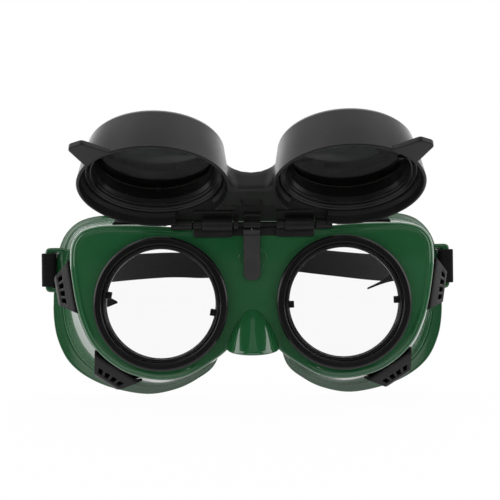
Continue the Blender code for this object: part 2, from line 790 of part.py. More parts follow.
def make_tongue(mat):
    """The leaf spring between the lenses, with the block that rides on the cam."""
    top, back = tongue_top(), panel_front - seat_gap
    half = tongue_width / 2
    outline = [(-half, top), (half, top), (half, top - tongue_length), (-half, top - tongue_length)]
    corners = rounded(outline, tongue_end_radius)
    square = [p for p in corners if p[1] < top - tongue_length / 2]
    leaf = plate("detent_tongue", [(-half, top), (half, top)] + square, back - tongue_thickness, back, mat)
    block = box("tongue_block", (-half, back - tongue_block_depth, top - tongue_block_height),
                (half, back, top))
    boolean(leaf, block, "UNION")
    add_peg(leaf, 0.0, tongue_peg_z(), back - tongue_thickness / 2)
    return leaf


def make_flip_axis():
    """Empty on the hinge axis; the front is modelled closed in its frame and raised with it."""
    axis = bpy.data.objects.new("flip_axis", None)
    collection.objects.link(axis)
    axis.location = (0.0, hinge_y, hinge_z)
    axis.rotation_euler = (-flip_angle, 0.0, 0.0)
    return axis


rim_plane = panel_front - seat_gap - hinge_y


def cup_outer(share):
    """Outer radius of a cup at a share of its depth: a cone with a slight swell."""
    straight = cup_rim_radius + (cup_front_radius - cup_rim_radius) * share
    return straight + cup_waist_swell * math.sin(math.pi * share)


def cup_profile():
    """Radius and forward distance from the rim plane, outer side first."""
    seat = cup_depth - cup_lip
    outer = [(cup_outer(share), cup_depth * share) for share in (0.9, 0.7, 0.45, cup_waist_share, 0.0)]
    floor = cup_outer(skirt_depth / cup_depth) - skirt_wall
    clear = bezel_radius + seat_gap
    return [(cup_front_radius - cup_front_edge, cup_depth), (cup_front_radius, cup_depth - cup_front_edge)] \
        + outer + [(cup_rim_radius - cup_wall, 0.0), (clear, skirt_clear_depth), (floor, skirt_depth),
                   (bezel_bore, skirt_depth), (bezel_bore, seat), (view_radius, seat), (view_radius, cup_depth)]


def ear_outline(side):
    """The finger ear, from its root in the cup wall to its tip."""
    return [(side * (eye_half + x * cup_rim_radius), -hinge_z - z * cup_rim_radius) for x, z in ear_shares]


def make_front(axis, mat):
    """The flip front: two cups, web with its hinge pocket, knuckles and ears."""
    outline = [(-web_half_width, web_top), (web_half_width, web_top), (web_half_width, -web_shoulder),
               (web_foot_half, -web_end), (-web_foot_half, -web_end), (-web_half_width, -web_shoulder)]
    rear, ahead = rim_plane - web_rear, rim_plane - web_front
    front = plate("flip_frame", outline, ahead, rear, mat, axis)
    half = [(x, rim_plane - depth) for x, depth in saddle_section]
    section = [(-x, y) for x, y in half[:0:-1]] + half
    section += [(saddle_section[-1][0], rear - seat_gap), (-saddle_section[-1][0], rear - seat_gap)]
    boolean(front, bar("saddle", section, -web_end + seat_gap, -saddle_start, axis), "UNION")
    pocket_ceiling = -(barrel_radius + seat_gap)
    pocket = box("hinge_pocket", (-pocket_half_width, pocket_ceiling, -pocket_length),
                 (pocket_half_width, rear + overrun, web_top + overrun), parent=axis)
    boolean(front, pocket)
    for name, span in (("left", ledge_left), ("right", ledge_right)):
        ledge = box(f"ledge_{name}", (span[0], pocket_ceiling - seat_gap, -pocket_length - seat_gap),
                    (span[1], rear, -pocket_length + ledge_length), parent=axis)
        boolean(front, ledge, "UNION")
    for name, span, radius in (("end_left", knuckle_left, knuckle_radius),
                               ("end_right", knuckle_right, knuckle_radius),
                               ("lug", lug_left, knuckle_radius), ("cam", cam_span, cam_radius)):
        boolean(front, rod(f"knuckle_{name}", radius, (span[0], 0.0, 0.0), (span[1], 0.0, 0.0),
                           parent=axis, sides=20), "UNION")
    for name, span, radius in (("lug", lug_left, knuckle_radius), ("cam", cam_span, cam_radius)):
        boolean(front, box(f"stem_{name}", (span[0], ahead + seat_gap, -radius * 0.8),
                           (span[1], -seat_gap, radius * 0.8), parent=axis), "UNION")
    for side in (-1, 1):
        ear = plate("ear", rounded(ear_outline(side), ear_corner, 2),
                    rim_plane - ear_rim_step - ear_thickness, rim_plane - ear_rim_step, parent=axis)
        boolean(front, ear, "UNION")
    for side in (-1, 1):
        middle = cup_wall / 2
        deep = saddle_section[-1][1] + overrun
        reach = cup_outer(deep / cup_depth) - middle
        boolean(front, rod("cup_clearance", cup_rim_radius - middle,
                           (side * eye_half, rim_plane, -hinge_z), (side * eye_half, rim_plane - deep, -hinge_z),
                           parent=axis, sides=segments, end_radius=reach))
    for side, name in ((-1, "left"), (1, "right")):
        boolean(front, turned(f"cup_{name}", cup_profile(), (side * eye_half, rim_plane, -hinge_z),
                              parent=axis), "UNION")
    bore_pin(front, -web_half_width - overrun, web_half_width + overrun, axis)
    smooth(front)


def make_shade(side, name, axis, mats):
    """Retaining ring, washer, shade lens and clear cover lens of one cup."""
    center = Vector((side * eye_half, rim_plane, -hinge_z))
    cover_back = cup_depth - cup_lip - seat_gap - cover_lens_thickness
    lens_back = cover_back - seat_gap - shade_lens_thickness
    washer_back = lens_back - seat_gap - washer_thickness
    ring_end = washer_back - seat_gap
    face = skirt_depth - seat_gap - flip_ring_step
    turned(f"shade_ring_{name}", [
        (lens_radius, ring_end), (lens_radius, skirt_depth - seat_gap), (flip_ring_flange, skirt_depth - seat_gap),
        (flip_ring_flange, face), (flip_ring_flange - ring_face, face), (view_radius, face + flip_ring_bevel),
        (view_radius, ring_end)], center, mats["black"], axis)
    turned(f"shade_washer_{name}", washer_profile(washer_back + washer_thickness), center, mats["fibre"], axis)
    disc(f"shade_lens_{name}", lens_radius, shade_lens_thickness,
         center - Vector((0.0, lens_back, 0.0)), mats["shade"], axis)
    disc(f"cover_lens_{name}", lens_radius, cover_lens_thickness,
         center - Vector((0.0, cover_back, 0.0)), mats["clear"], axis)


def strap_route():
    """Middle line of the strap's right half as rows of x, y, z and the lean of its width.

    It runs from the loose tail, forward through the adjuster, through the slot, round the loop's
    bar, and back outside to the middle of the back of the head.
    """
    out = strap_thickness / 2 + seat_gap
    x_in, x_out = bar_inner - out, loop_outer + out
    y_front = loop_back - loop_depth - out
    turn = [(x_in, loop_back), (x_in, y_front + out), (x_in + out / 2, y_front + out / 4), (x_in + out * 1.5, y_front),
            (x_out - out * 1.5, y_front), (x_out - out / 2, y_front + out / 4), (x_out, y_front + out), (x_out, loop_back)]
    layer = strap_thickness / 2 + strap_layer_gap / 2
    far = strap_join + strap_straight
    x_mid = strap_half_width
    tail_tip = (x_mid - layer - tail_turn, far + tail_length)
    tail = [tail_tip, (x_mid - layer - tail_turn * 0.45, far + tail_length * 0.62),
            (x_mid - layer - tail_turn * 0.1, far + tail_length * 0.28)]
    inner = [(x_mid - layer, far), (x_mid - layer, far - strap_straight / 2), (x_mid - layer, strap_join),
             ((x_mid - layer + x_in) / 2, strap_join / 2)]
    outer = [((x_mid + layer + x_out) / 2, strap_join / 2), (x_mid + layer, strap_join),
             (x_mid + layer, far - strap_straight / 2), (x_mid + layer, far)]
    round_back = [((x_mid + layer) * math.cos(a), far + (strap_back - far) * math.sin(a))
                  for a in np.linspace(0.0, math.pi / 2, 15)[1:]]
    plan = np.array(tail + inner + turn + outer + round_back)
    z = np.full(len(plan), loop_center_z)
    lean = np.zeros(len(plan))
    z[:3] -= tail_drop * np.array([1.0, 0.5, 0.1])
    lean[:3] = (0.5, 0.25, 0.05)
    back = np.arange(len(round_back)) + 1.0
    z[-len(round_back):] -= strap_droop * (back / back[-1]) ** 2
    return np.column_stack([plan, z, lean])


def make_strap(mat):
    """The elastic strap as one band of even width and thickness along its route."""
    half = strap_route()
    mirrored = half[-2::-1].copy()
    mirrored[:, 0] *= -1
    mirrored[:, 3] *= -1
    route = np.vstack([half, mirrored])
    bm = bmesh.new()
    rows = []
    for x, y, z, lean in route:
        reach = Vector((math.sin(lean), 0.0, math.cos(lean))) * strap_width / 2
        point = Vector((x, y, z))
        rows.append((bm.verts.new(point - reach), bm.verts.new(point + reach)))
    for low, high in zip(rows, rows[1:]):
        bm.faces.new((low[0], high[0], high[1], low[1]))
    strap = add_object("head_strap", mesh_from(bm, "head_strap"), mat)
    solidify = strap.modifiers.new("Thickness", "SOLIDIFY")
    solidify.thickness = strap_thickness
    solidify.offset = 0.0
    solidify.use_even_offset = True
    smooth(strap)


def make_adjuster(side, name, mat):
    """The slide that holds the two layers of strap, with a bar between them."""
    layer = strap_thickness / 2 + strap_layer_gap / 2
    deep = layer + strap_thickness / 2 + seat_gap
    tall = strap_width / 2 + seat_gap
    y0 = strap_join + adjuster_offset
    body = box(f"strap_adjuster_{name}",
               (-deep - adjuster_wall, -adjuster_length / 2, -tall - adjuster_wall),
               (deep + adjuster_wall, adjuster_length / 2, tall + adjuster_wall), mat)
    center = Vector((side * strap_half_width, y0 + adjuster_length / 2, loop_center_z))
    body.location = center
    inner = strap_layer_gap / 2 - seat_gap
    for sign in (-1, 1):
        xs = sorted((sign * inner, sign * deep))
        slot = box(f"adjuster_slot_{name}", (xs[0], -adjuster_length, -tall), (xs[1], adjuster_length, tall))
        slot.location += center
        boolean(body, slot)
    bevel = body.modifiers.new("Edges", "BEVEL")
    bevel.width = adjuster_wall / 4
    bevel.segments = 1
    bevel.limit_method = "ANGLE"
    body.modifiers.move(len(body.modifiers) - 1, 0)


def main():
    clear_scene()
    mats = {
        "green": material("soft_green", (0.030, 0.130, 0.045), 0.30),
        "black": material("black_plastic", (0.020, 0.020, 0.020), 0.38),
        "tongue": material("dark_spring", (0.035, 0.033, 0.033), 0.55),
        "steel": material("dark_steel", (0.06, 0.06, 0.06), 0.35, 1.0),
        "fibre": material("fibre_washer", (0.10, 0.085, 0.07), 0.85),
        "clear": material("clear_glass", (0.95, 0.97, 0.96), 0.02, alpha=0.2),
        "shade": material("shade_glass", (0.012, 0.020, 0.013), 0.03),
        "elastic": material("black_elastic", (0.012, 0.012, 0.012), 0.80)}
    frames = {(side, place): vent_frame(side, share)
              for side in (-1, 1) for place, share in vent_place_shares.items()}
    make_body(mats["green"], frames.values())
    keep_out = loft("body_keep_out", body_loops(seat_gap))
    for (side, place), frame in frames.items():
        name = "left" if side < 0 else "right"
        make_vent(f"vent_{place}_{name}", frame, keep_out, mats["black"])
    make_eye(-1, "left", left_ring_turn, mats)
    make_eye(1, "right", right_ring_turn, mats)
    make_bracket("left", mats["black"])
    make_bracket("right", mats["black"])
    make_tongue(mats["tongue"])
    axis = Vector((0.0, hinge_y, hinge_z))
    reach = Vector((web_half_width - seat_gap, 0.0, 0.0))
    rod("hinge_pin", pin_radius, axis - reach, axis + reach, mats["steel"])
    flip = make_flip_axis()
    make_front(flip, mats["black"])
    make_shade(-1, "left", flip, mats)
    make_shade(1, "right", flip, mats)
    make_strap(mats["elastic"])
    make_adjuster(-1, "left", mats["black"])
    make_adjuster(1, "right", mats["black"])


main()
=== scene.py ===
import json
import math

import bmesh
import bpy
import numpy as np
from mathutils import Matrix, Vector

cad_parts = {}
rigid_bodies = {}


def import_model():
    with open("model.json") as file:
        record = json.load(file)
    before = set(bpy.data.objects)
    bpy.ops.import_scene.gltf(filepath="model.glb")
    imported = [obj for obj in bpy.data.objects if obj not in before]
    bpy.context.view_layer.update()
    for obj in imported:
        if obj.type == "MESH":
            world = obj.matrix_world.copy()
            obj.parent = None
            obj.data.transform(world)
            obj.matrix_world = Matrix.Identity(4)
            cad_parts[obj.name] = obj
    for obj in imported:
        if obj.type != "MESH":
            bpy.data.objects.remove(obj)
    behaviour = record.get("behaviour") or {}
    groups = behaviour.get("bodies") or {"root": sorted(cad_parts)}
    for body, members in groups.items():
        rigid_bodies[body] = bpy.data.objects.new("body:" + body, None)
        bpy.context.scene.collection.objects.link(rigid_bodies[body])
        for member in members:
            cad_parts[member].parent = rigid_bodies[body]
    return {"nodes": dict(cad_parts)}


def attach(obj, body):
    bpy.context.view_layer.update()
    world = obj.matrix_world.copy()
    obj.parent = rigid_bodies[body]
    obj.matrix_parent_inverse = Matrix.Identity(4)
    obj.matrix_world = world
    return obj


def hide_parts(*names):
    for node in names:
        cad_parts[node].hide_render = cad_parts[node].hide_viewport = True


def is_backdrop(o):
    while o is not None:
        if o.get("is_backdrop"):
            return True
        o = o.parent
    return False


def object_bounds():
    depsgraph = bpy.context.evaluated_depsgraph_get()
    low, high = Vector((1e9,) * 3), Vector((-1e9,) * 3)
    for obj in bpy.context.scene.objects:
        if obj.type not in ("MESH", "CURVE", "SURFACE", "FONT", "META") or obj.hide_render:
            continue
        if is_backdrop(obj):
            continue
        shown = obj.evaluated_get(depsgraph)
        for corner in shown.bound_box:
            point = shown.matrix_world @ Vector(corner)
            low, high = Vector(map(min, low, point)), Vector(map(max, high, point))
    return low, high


for item in list(bpy.data.objects):
    bpy.data.objects.remove(item)
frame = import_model()
cad_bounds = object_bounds()
MM = 0.001
bpy.context.scene.view_settings.view_transform = "Standard"


def added(name, data):
    """A new object with this data, linked to the scene."""
    obj = bpy.data.objects.new(name, data)
    bpy.context.scene.collection.objects.link(obj)
    return obj


print("CAD box in mm:", [[round(c / MM, 1) for c in corner] for corner in cad_bounds])

# %% [markdown]
# ## The camera
# The photograph was taken from straight in front with a long lens, about half a metre away, so the
# strap behind the lenses looks only a little smaller than it is. The camera is turned a touch about
# its own axis, because the goggles in the photograph hang slightly askew.
# %% Camera
CAMERA_PLACE = (-0.8, -538.0, 23.6)
CAMERA_PITCH, CAMERA_ROLL = -0.002, -0.011
FOCAL_LENGTH, SENSOR = 84.74, 36.0

camera = added("camera", bpy.data.cameras.new("camera"))
camera.data.lens, camera.data.sensor_width = FOCAL_LENGTH, SENSOR
camera.data.clip_start, camera.data.clip_end = 0.01, 20.0
camera.location = [c * MM for c in CAMERA_PLACE]
turn = (Matrix.Rotation(math.pi / 2, 3, "X") @ Matrix.Rotation(CAMERA_PITCH, 3, "X")
        @ Matrix.Rotation(CAMERA_ROLL, 3, "Z"))
camera.rotation_euler = turn.to_euler()
bpy.context.scene.camera = camera
print("camera", CAMERA_PLACE, "focal length", FOCAL_LENGTH)

# %% [markdown]
# ## Shader sums written as Python
# A node material is a sum of numbers that change over the surface. `Wire` wraps one node socket and
# overloads + - *, so a line such as `0.3 + 0.2 * noise` builds its own Math nodes. `Nodes` adds all
# other kinds of node to a tree, and `Finish` is the tree of one material. Each node could be added
# and linked by hand, but then one short sum takes ten lines.
# %% Wire
class Wire:
    """One output socket that works in Python sums: each sum adds one Math node."""

    def __init__(self, nodes, socket):
        """Keeps the tree and the socket."""
        self.nodes, self.socket = nodes, socket

    def math(self, operation, *others):
        """One Math node, with this wire as its first value."""
        return self.nodes.math(operation, self, *others)

    def __add__(self, other):
        """self + other, and other + self."""
        return self.math("ADD", other)

    def __mul__(self, other):
        """self * other, and other * self."""
        return self.math("MULTIPLY", other)

    def __rsub__(self, other):
        """other - self."""
        return self.nodes.math("SUBTRACT", other, self)

    __radd__, __rmul__ = __add__, __mul__

    def most(self, *others):
        """The largest of this wire and the others: a chain of Maximum nodes."""
        top = self
        for other in others:
            top = top.math("MAXIMUM", other)
        return top

    def band(self, low, high):
        """0 below low, 1 above high, with a smooth step between; low may be the larger."""
        return self.nodes.node("MapRange", {"interpolation_type": "SMOOTHSTEP"}, {
            "Value": self, "From Min": min(low, high), "From Max": max(low, high),
            "To Min": float(low > high), "To Max": float(low < high)})


print("Wire ready")


# %% Nodes and Finish
class Nodes:
    """The node tree of a world or a material; each method adds to it."""

    def __init__(self, owner):
        """Turns the owner's nodes on and keeps its tree."""
        owner.use_nodes = True
        self.tree = owner.node_tree

    def link(self, socket, value):
        """Links a wire to a socket, or sets the socket to a plain value."""
        if isinstance(value, Wire):
            self.tree.links.new(value.socket, socket)
        elif socket.type == "RGBA" and len(value) == 3:
            socket.default_value = (*value, 1.0)
        else:
            socket.default_value = value

    def node(self, kind, settings, inputs, out=0):
        """Adds a node: settings first, then values or wires for its sockets; returns one output."""
        node = self.tree.nodes.new("ShaderNode" + kind)
        for name, value in settings.items():
            setattr(node, name, value)
        for name, value in inputs.items():
            self.link(node.inputs[name], value)
        return Wire(self, node.outputs[out])

    def math(self, operation, *values):
        """One Math node on one or two values."""
        return self.node("Math", {"operation": operation}, dict(enumerate(values)))

    def rays(self):
        """Three wires: 1 for rays from the camera, through glass, and off a mirror; otherwise 0."""
        kinds = ("Camera", "Transmission", "Glossy")
        return [self.node("LightPath", {}, {}, f"Is {kind} Ray") for kind in kinds]

    def place(self, stretch=(1.0, 1.0, 1.0)):
        """Object coordinates in metres, stretched along each axis."""
        spot = self.node("TexCoord", {}, {}, "Object")
        return self.node("Mapping", {}, {"Vector": spot, "Scale": stretch})

    def noise(self, per_metre, detail=2.0, stretch=(1.0, 1.0, 1.0), rough=0.5):
        """Cloudy noise with that many blotches to the metre, from 0 to 1."""
        return self.node("TexNoise", {}, {
            "Vector": self.place(stretch), "Scale": per_metre, "Detail": detail, "Roughness": rough})

    def axis(self, number):
        """One Object coordinate, in millimetres."""
        return self.node("SeparateXYZ", {}, {0: self.place((1 / MM,) * 3)}, number)

    def mix(self, share, low, high):
        """low * (1 - share) + high * share, for two colours."""
        return self.node("Mix", {"data_type": "RGBA"}, {0: share, 6: low, 7: high}, 2)


class Finish(Nodes):
    """One material: plain values set on its shader, and wires that vary over the surface."""

    def __init__(self, name, **values):
        """Makes the material and sets its plain values."""
        self.material = bpy.data.materials.new(name)
        super().__init__(self.material)
        self.shader = self.tree.nodes["Principled BSDF"]
        for socket, value in values.items():
            self.put(socket.replace("_", " "), value)

    def put(self, socket, value):
        """Sets a shader socket to a plain value, or links a wire to it."""
        self.link(self.shader.inputs[socket], value)

    def bump(self, height, depth, strength=1.0):
        """Bends the shading as if the surface rose by height times depth metres."""
        self.put("Normal", self.node("Bump", {}, {
            "Height": height, "Distance": depth, "Strength": strength}))
        return self


print("shader helpers ready")

# %% [markdown]
# ## Soft studio light
# The photograph has a pure white surround, broad soft light from both sides and above, and a dark
# room on the camera's side, so black surfaces that face the camera stay black and their flanks are
# pale. The world and the floor are white where the camera, a mirror or glass looks at them, but a
# mirror that looks back at the camera's side sees the dark room, and one that looks at the floor in
# front of the goggles or under them sees dim paper: painted shade in front, and a painted shadow
# under the goggles. Other rays see a low plain grey. A white card behind the goggles would do for
# the camera alone, but every black flank would mirror it.
# %% World
def background(name, plain, front):
    """Strength = max(camera, glass, mirror * open, (1 - mirror) * plain). open is a smooth step over
    the ray's Y direction: 0 below the first value of front, 1 above the second."""
    world = bpy.data.worlds.new(name)
    sky = Nodes(world)
    seen, glass, mirror = sky.rays()
    ahead = sky.node("SeparateXYZ", {}, {0: sky.node("TexCoord", {}, {}, "Generated")}, 1)
    shown = sky.tree.nodes["Background"].inputs
    sky.link(shown["Strength"], seen.most(glass, mirror * ahead.band(*front), (1.0 - mirror) * plain))
    sky.link(shown["Color"], (1.0, 1.0, 1.0))
    bpy.context.scene.world = world


background("studio", plain=0.46, front=(-0.7, -0.2))
print("world ready")

# %% Floor
FLOOR_HEIGHT, FLOOR_HALF, SHADOW_SHARE, PAINTED_SHADE_GREY = -42.6, 6000.0, 0.03, 0.09
PAINTED_SHADOW_SIDE, PAINTED_SHADOW_FRONT, PAINTED_SHADOW_BACK, LIT_RUN = (78.0, 64.0), (-8.0, 3.0), (42.0, 28.0), (-160.0, 0.0)
floor_mesh = bpy.data.meshes.new("floor")
floor_mesh.from_pydata([(x * FLOOR_HALF * MM, y * FLOOR_HALF * MM, FLOOR_HEIGHT * MM)
                        for x, y in ((-1, -1), (1, -1), (1, 1), (-1, 1))], [], [(0, 1, 2, 3)])
floor = added("floor", floor_mesh)
floor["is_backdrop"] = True
paper = Finish("floor_paper", Base_Color=(0.8, 0.8, 0.8), Roughness=0.9)
seen, glass, mirror = paper.rays()
near = paper.node("VectorMath", {"operation": "LENGTH"}, {0: paper.place()}, "Value").band(0.9, 0.2)
# under marks the floor beneath the goggles; there, and in front of them, mirror rays see the paper as a
# dim grey: a painted shadow and painted shade.
under = (paper.axis(0).math("ABSOLUTE").band(*PAINTED_SHADOW_SIDE) * paper.axis(1).band(*PAINTED_SHADOW_FRONT)
         * paper.axis(1).band(*PAINTED_SHADOW_BACK))
lit = paper.axis(1).band(*LIT_RUN) * (1.0 - under)
glow = paper.node("Emission", {}, {
    "Color": paper.mix(mirror * (1.0 - lit), (1.0, 1.0, 1.0), (PAINTED_SHADE_GREY, PAINTED_SHADE_GREY, PAINTED_SHADE_GREY)), "Strength": 1.0})
surface = paper.node("MixShader", {}, {
    0: seen.most(glass, mirror) * (1.0 - SHADOW_SHARE * near),
    1: Wire(paper, paper.shader.outputs[0]), 2: glow})
paper.link(paper.tree.nodes["Material Output"].inputs["Surface"], surface)
floor_mesh.materials.append(paper.material)
print("floor at", FLOOR_HEIGHT, "mm")


# %% Lamps
LAMP_AIM = (0.0, -20.0, 20.0)


def softbox(name, place, width, height, watts):
    """A large rectangular lamp at a place, turned so that it faces LAMP_AIM; all in millimetres."""
    lamp = bpy.data.lights.new(name, "AREA")
    lamp.shape, lamp.size, lamp.size_y, lamp.energy = "RECTANGLE", width * MM, height * MM, watts
    holder = added(name, lamp)
    holder.location = [c * MM for c in place]
    holder.rotation_euler = Vector(np.subtract(LAMP_AIM, place)).to_track_quat("-Z", "Y").to_euler()


softbox("key_left", (-950, -430, 260), 900, 1100, 5.2)
softbox("key_right", (960, -400, 300), 900, 1100, 4.8)
softbox("top", (0, 160, 950), 1500, 1000, 3.8)
softbox("front_strip", (0, -880, 300), 900, 120, 0.7)
softbox("rim_back", (0, 800, 500), 1400, 700, 4.4)
softbox("low_left", (-760, 560, 20), 420, 520, 2.4)
softbox("low_right", (800, 560, 60), 300, 420, 1.2)

# %% [markdown]
# ## Grids, loops and profiles
# Every new surface is a grid: rows of points worked out by a formula, joined by four-sided faces.
# A grid closes on itself round its columns, like a tube, and its ends may be joined or closed.
# `soften` rounds the corners of a profile, and leaves a point just beside each round so that the
# flat parts still shade flat. Modelling by hand would also work, but a formula keeps each edge where
# it was measured, and one number moves it.
# %% Grids
def xyz(x, y, z):
    """Three arrays stretched to one shape and stacked along a new last axis."""
    return np.stack(np.broadcast_arrays(x, y, z), axis=-1)


def circle(steps):
    """Angles round a full turn, without the last one that repeats the first."""
    return np.linspace(0.0, 2 * math.pi, steps, endpoint=False)


def quads(index):
    """The four neighbours at each place of a table of point numbers, as one face."""
    return np.stack([index[:-1, :-1], index[:-1, 1:], index[1:, 1:], index[1:, :-1]], axis=-1)


def grid(points, ends="open"):
    """Rows x columns x 3 in mm -> (points, faces), closed round its columns. Joined ends are one row;
    a capped end is one face; a zipped end joins column i to its opposite, n - 1 - i."""
    if ends == "joined":
        points = np.concatenate([points, points[:1]])
    rows, columns = points.shape[:2]
    index = np.arange(rows * columns).reshape(rows, columns)
    faces = quads(np.column_stack([index, index[:, 0]])).reshape(-1, 4).tolist()
    if ends == "zipped":
        i = np.arange(columns // 2 - 1)
        across = np.column_stack([i, i + 1, columns - 2 - i, columns - 1 - i])
        faces += across[:, ::-1].tolist() + (across + index[-1, 0]).tolist()
    if ends == "capped":
        faces += [index[0, ::-1].tolist(), index[-1].tolist()]
    return points.reshape(-1, 3), faces


def weld(*parts):
    """Several grids as one: their points in one list, and their faces counted on."""
    starts = np.cumsum([0] + [len(points) for points, _ in parts])
    faces = [[i + start for i in face] for (_, part), start in zip(parts, starts) for face in part]
    return np.vstack([points for points, _ in parts]), faces


def moved(part, change):
    """The same grid with its points changed by a function of an N x 3 array."""
    return change(part[0]), part[1]


print("faces of an open 3 x 4 grid", len(grid(np.zeros((3, 4, 3)))[1]))


# %% Pieces
def outward_mesh(part, merge, way=None):
    """One part as a mesh in metres: doubles merged, and faces turned outwards, so that its signed
    volume is positive, or the mean of its normals along a way is."""
    mesh = bpy.data.meshes.new("part")
    mesh.from_pydata((part[0] * MM).tolist(), [], part[1])
    bm = bmesh.new()
    bm.from_mesh(mesh)
    bmesh.ops.remove_doubles(bm, verts=bm.verts, dist=merge * MM)
    bmesh.ops.dissolve_degenerate(bm, edges=bm.edges, dist=merge * MM / 10)
    bmesh.ops.recalc_face_normals(bm, faces=bm.faces)
    facing = (bm.calc_volume(signed=True) if way is None
              else np.mean([f.normal @ Vector(way) for f in bm.faces]))
    if facing < 0:
        bmesh.ops.reverse_faces(bm, faces=bm.faces)
    bm.to_mesh(mesh)
    bm.free()
    return mesh


def dressed(name, mesh, finish, replaces, body, sharp):
    """A mesh as a piece: creased where faces meet by more than sharp degrees, and put on a body."""
    mesh.name = name
    mesh.shade_smooth()
    mesh.set_sharp_from_angle(angle=math.radians(sharp))
    mesh.materials.append(finish.material)
    obj = added(name, mesh)
    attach(obj, body)
    if replaces:
        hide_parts(*replaces)
    print(name, "faces", len(mesh.polygons))
    return obj


def ride_piece(name, parts, finish, replaces=(), body="mask",
               sharp=50.0, merge=0.0015):
    """Joins closed parts into one piece with one finish, and puts it on a body."""
    bm = bmesh.new()
    for part in parts:
        mesh = outward_mesh(part, merge)
        bm.from_mesh(mesh)
        bpy.data.meshes.remove(mesh)
    mesh = bpy.data.meshes.new(name)
    bm.to_mesh(mesh)
    bm.free()
    return dressed(name, mesh, finish, replaces, body, sharp)


print("piece helpers ready")


# %% Lines and turned parts
def spline(points, samples, closed=True):
    """Catmull-Rom: between two points the line leaves and arrives along its neighbours' chord."""
    if not closed:
        points = np.vstack([2 * points[0] - points[1], points, 2 * points[-1] - points[-2]])
    rows = [np.roll(points, shift, axis=0) for shift in (1, 0, -1, -2)]
    t = (np.arange(samples) / samples)[:, None, None]
    weights = (-t + 2 * t ** 2 - t ** 3, 2 - 5 * t ** 2 + 3 * t ** 3,
               t + 4 * t ** 2 - 3 * t ** 3, t ** 3 - t ** 2)
    line = sum(w * row for w, row in zip(weights, rows)) / 2
    line = line.transpose(1, 0, 2).reshape(-1, points.shape[1])
    return line if closed else np.vstack([line[samples:-2 * samples], points[-2]])


def soften(points, radius, steps=3, beside=0.06):
    """Each corner of a closed line becomes a quadratic arc, a (1 - t)^2 + 2 p t (1 - t) + b t^2, that
    starts and ends radius away, or 0.46 of a short side, with a point just beside it."""
    points = np.asarray(points, float)
    before, after = np.roll(points, 1, axis=0) - points, np.roll(points, -1, axis=0) - points
    long_before, long_after = (np.linalg.norm(way, axis=1, keepdims=True) for way in (before, after))
    before, after = before / long_before, after / long_after
    reach = np.minimum(radius, np.minimum(long_before, long_after) * 0.46)
    start, end = points + before * reach, points + after * reach
    pad = np.minimum(beside, reach * 0.15)
    arcs = [start * (1 - t) ** 2 + points * 2 * t * (1 - t) + end * t ** 2
            for t in np.linspace(0, 1, steps + 1)]
    rows = [start + before * pad, *arcs, end + after * pad]
    return np.stack(rows, axis=1).reshape(-1, points.shape[1])


def lathe(line, angles):
    """Each (r, f) of a line becomes the ring f, r cos a, r sin a."""
    r, forward = line[:, :1], line[:, 1:]
    return xyz(forward, r * np.cos(angles), r * np.sin(angles))


def turned(profile, centre, angles=128, radius=0.25):
    """A softened (radius, forward) profile turned about the line along -Y through the centre."""
    rings = lathe(soften(profile, radius), circle(angles) if np.ndim(angles) == 0 else angles)
    return grid(centre + rings[..., [1, 0, 2]] * (1, -1, 1), "joined")


print("points of a soft square", len(soften([(0, 0), (0, 9), (9, 9), (9, 0)], 1.0)))


# %% Boxes and plates
def rounded_box(low, high, radius):
    """A sphere's grid pushed out towards the box's corners by the signs of its directions."""
    low, high = np.minimum(low, high), np.maximum(low, high)
    half, middle = (high - low) / 2, (high + low) / 2
    radius = min(radius, half.min() * 0.95)
    quarter = np.linspace(0.0, math.pi / 2, 4)
    around = np.concatenate([quarter + k * math.pi / 2 for k in range(4)])
    down = np.concatenate([quarter, quarter + math.pi / 2])[:, None]
    sign = xyz(np.repeat([1, -1, -1, 1], 4), np.repeat([1, 1, -1, -1], 4),
               np.repeat([1, -1], 4)[:, None])
    way = xyz(np.sin(down) * np.cos(around), np.sin(down) * np.sin(around), np.cos(down))
    return grid(middle + sign * (half - radius) + way * radius, "capped")


def normals(loop):
    """Unit normals that point out of a clockwise (x, z) loop."""
    along = np.roll(loop, -1, axis=0) - np.roll(loop, 1, axis=0)
    along /= np.linalg.norm(along, axis=1, keepdims=True)
    return np.stack([-along[:, 1], along[:, 0]], axis=1)


def slab(outline, front, back, edge):
    """A plate from a clockwise (x, z) outline: both rims are quarter rounds, made by insetting it."""
    t = np.linspace(0.0, math.pi / 2, 4)
    rise, fall = edge * (1 - np.cos(t)), edge * (1 - np.sin(t))
    inset = np.concatenate([[edge + 0.05], fall, rise, [edge + 0.05]])[:, None, None]
    depth = np.concatenate([[front], front + rise, back - fall, [back]])[:, None]
    flat = outline - normals(outline) * inset
    return grid(xyz(flat[..., 0], depth, flat[..., 1]), "capped")


print("shape helpers ready")

# %% [markdown]
# ## Finishes
# Measured off the photograph as shares of white light, not as screen values: a glossy PVC green with
# faint clouds in it, painted paler towards its left side (painted light) and darker towards its back
# (painted shade), blacks that differ mostly in gloss, a dark lens that lets about a hundredth of the
# light through, clear glass, grey fibre washers, and black elastic with a woven rib that follows the
# strap's own UV map, its cord tops painted lighter and its grooves darker (painted highlight and
# shade). Noise in Object coordinates was chosen over painted pictures, because it needs no
# unwrapping and shows no seams.
# %% Green PVC
green = Finish("soft_green_pvc", Coat_Weight=1.0, Coat_IOR=1.6, Coat_Roughness=0.045,
               Specular_IOR_Level=0.2)
clouds = green.noise(38.0, 3.0, rough=0.55)
blotch = green.noise(14.0, 1.0)
grain = green.noise(2600.0, 2.0)
# deep darkens the green towards the back of the mask: painted shade.
deep = green.axis(1).band(-30.0, -4.0)
skin_green = green.mix(clouds.band(0.36, 0.66), (0.0050, 0.078, 0.0215), (0.0100, 0.094, 0.0300))
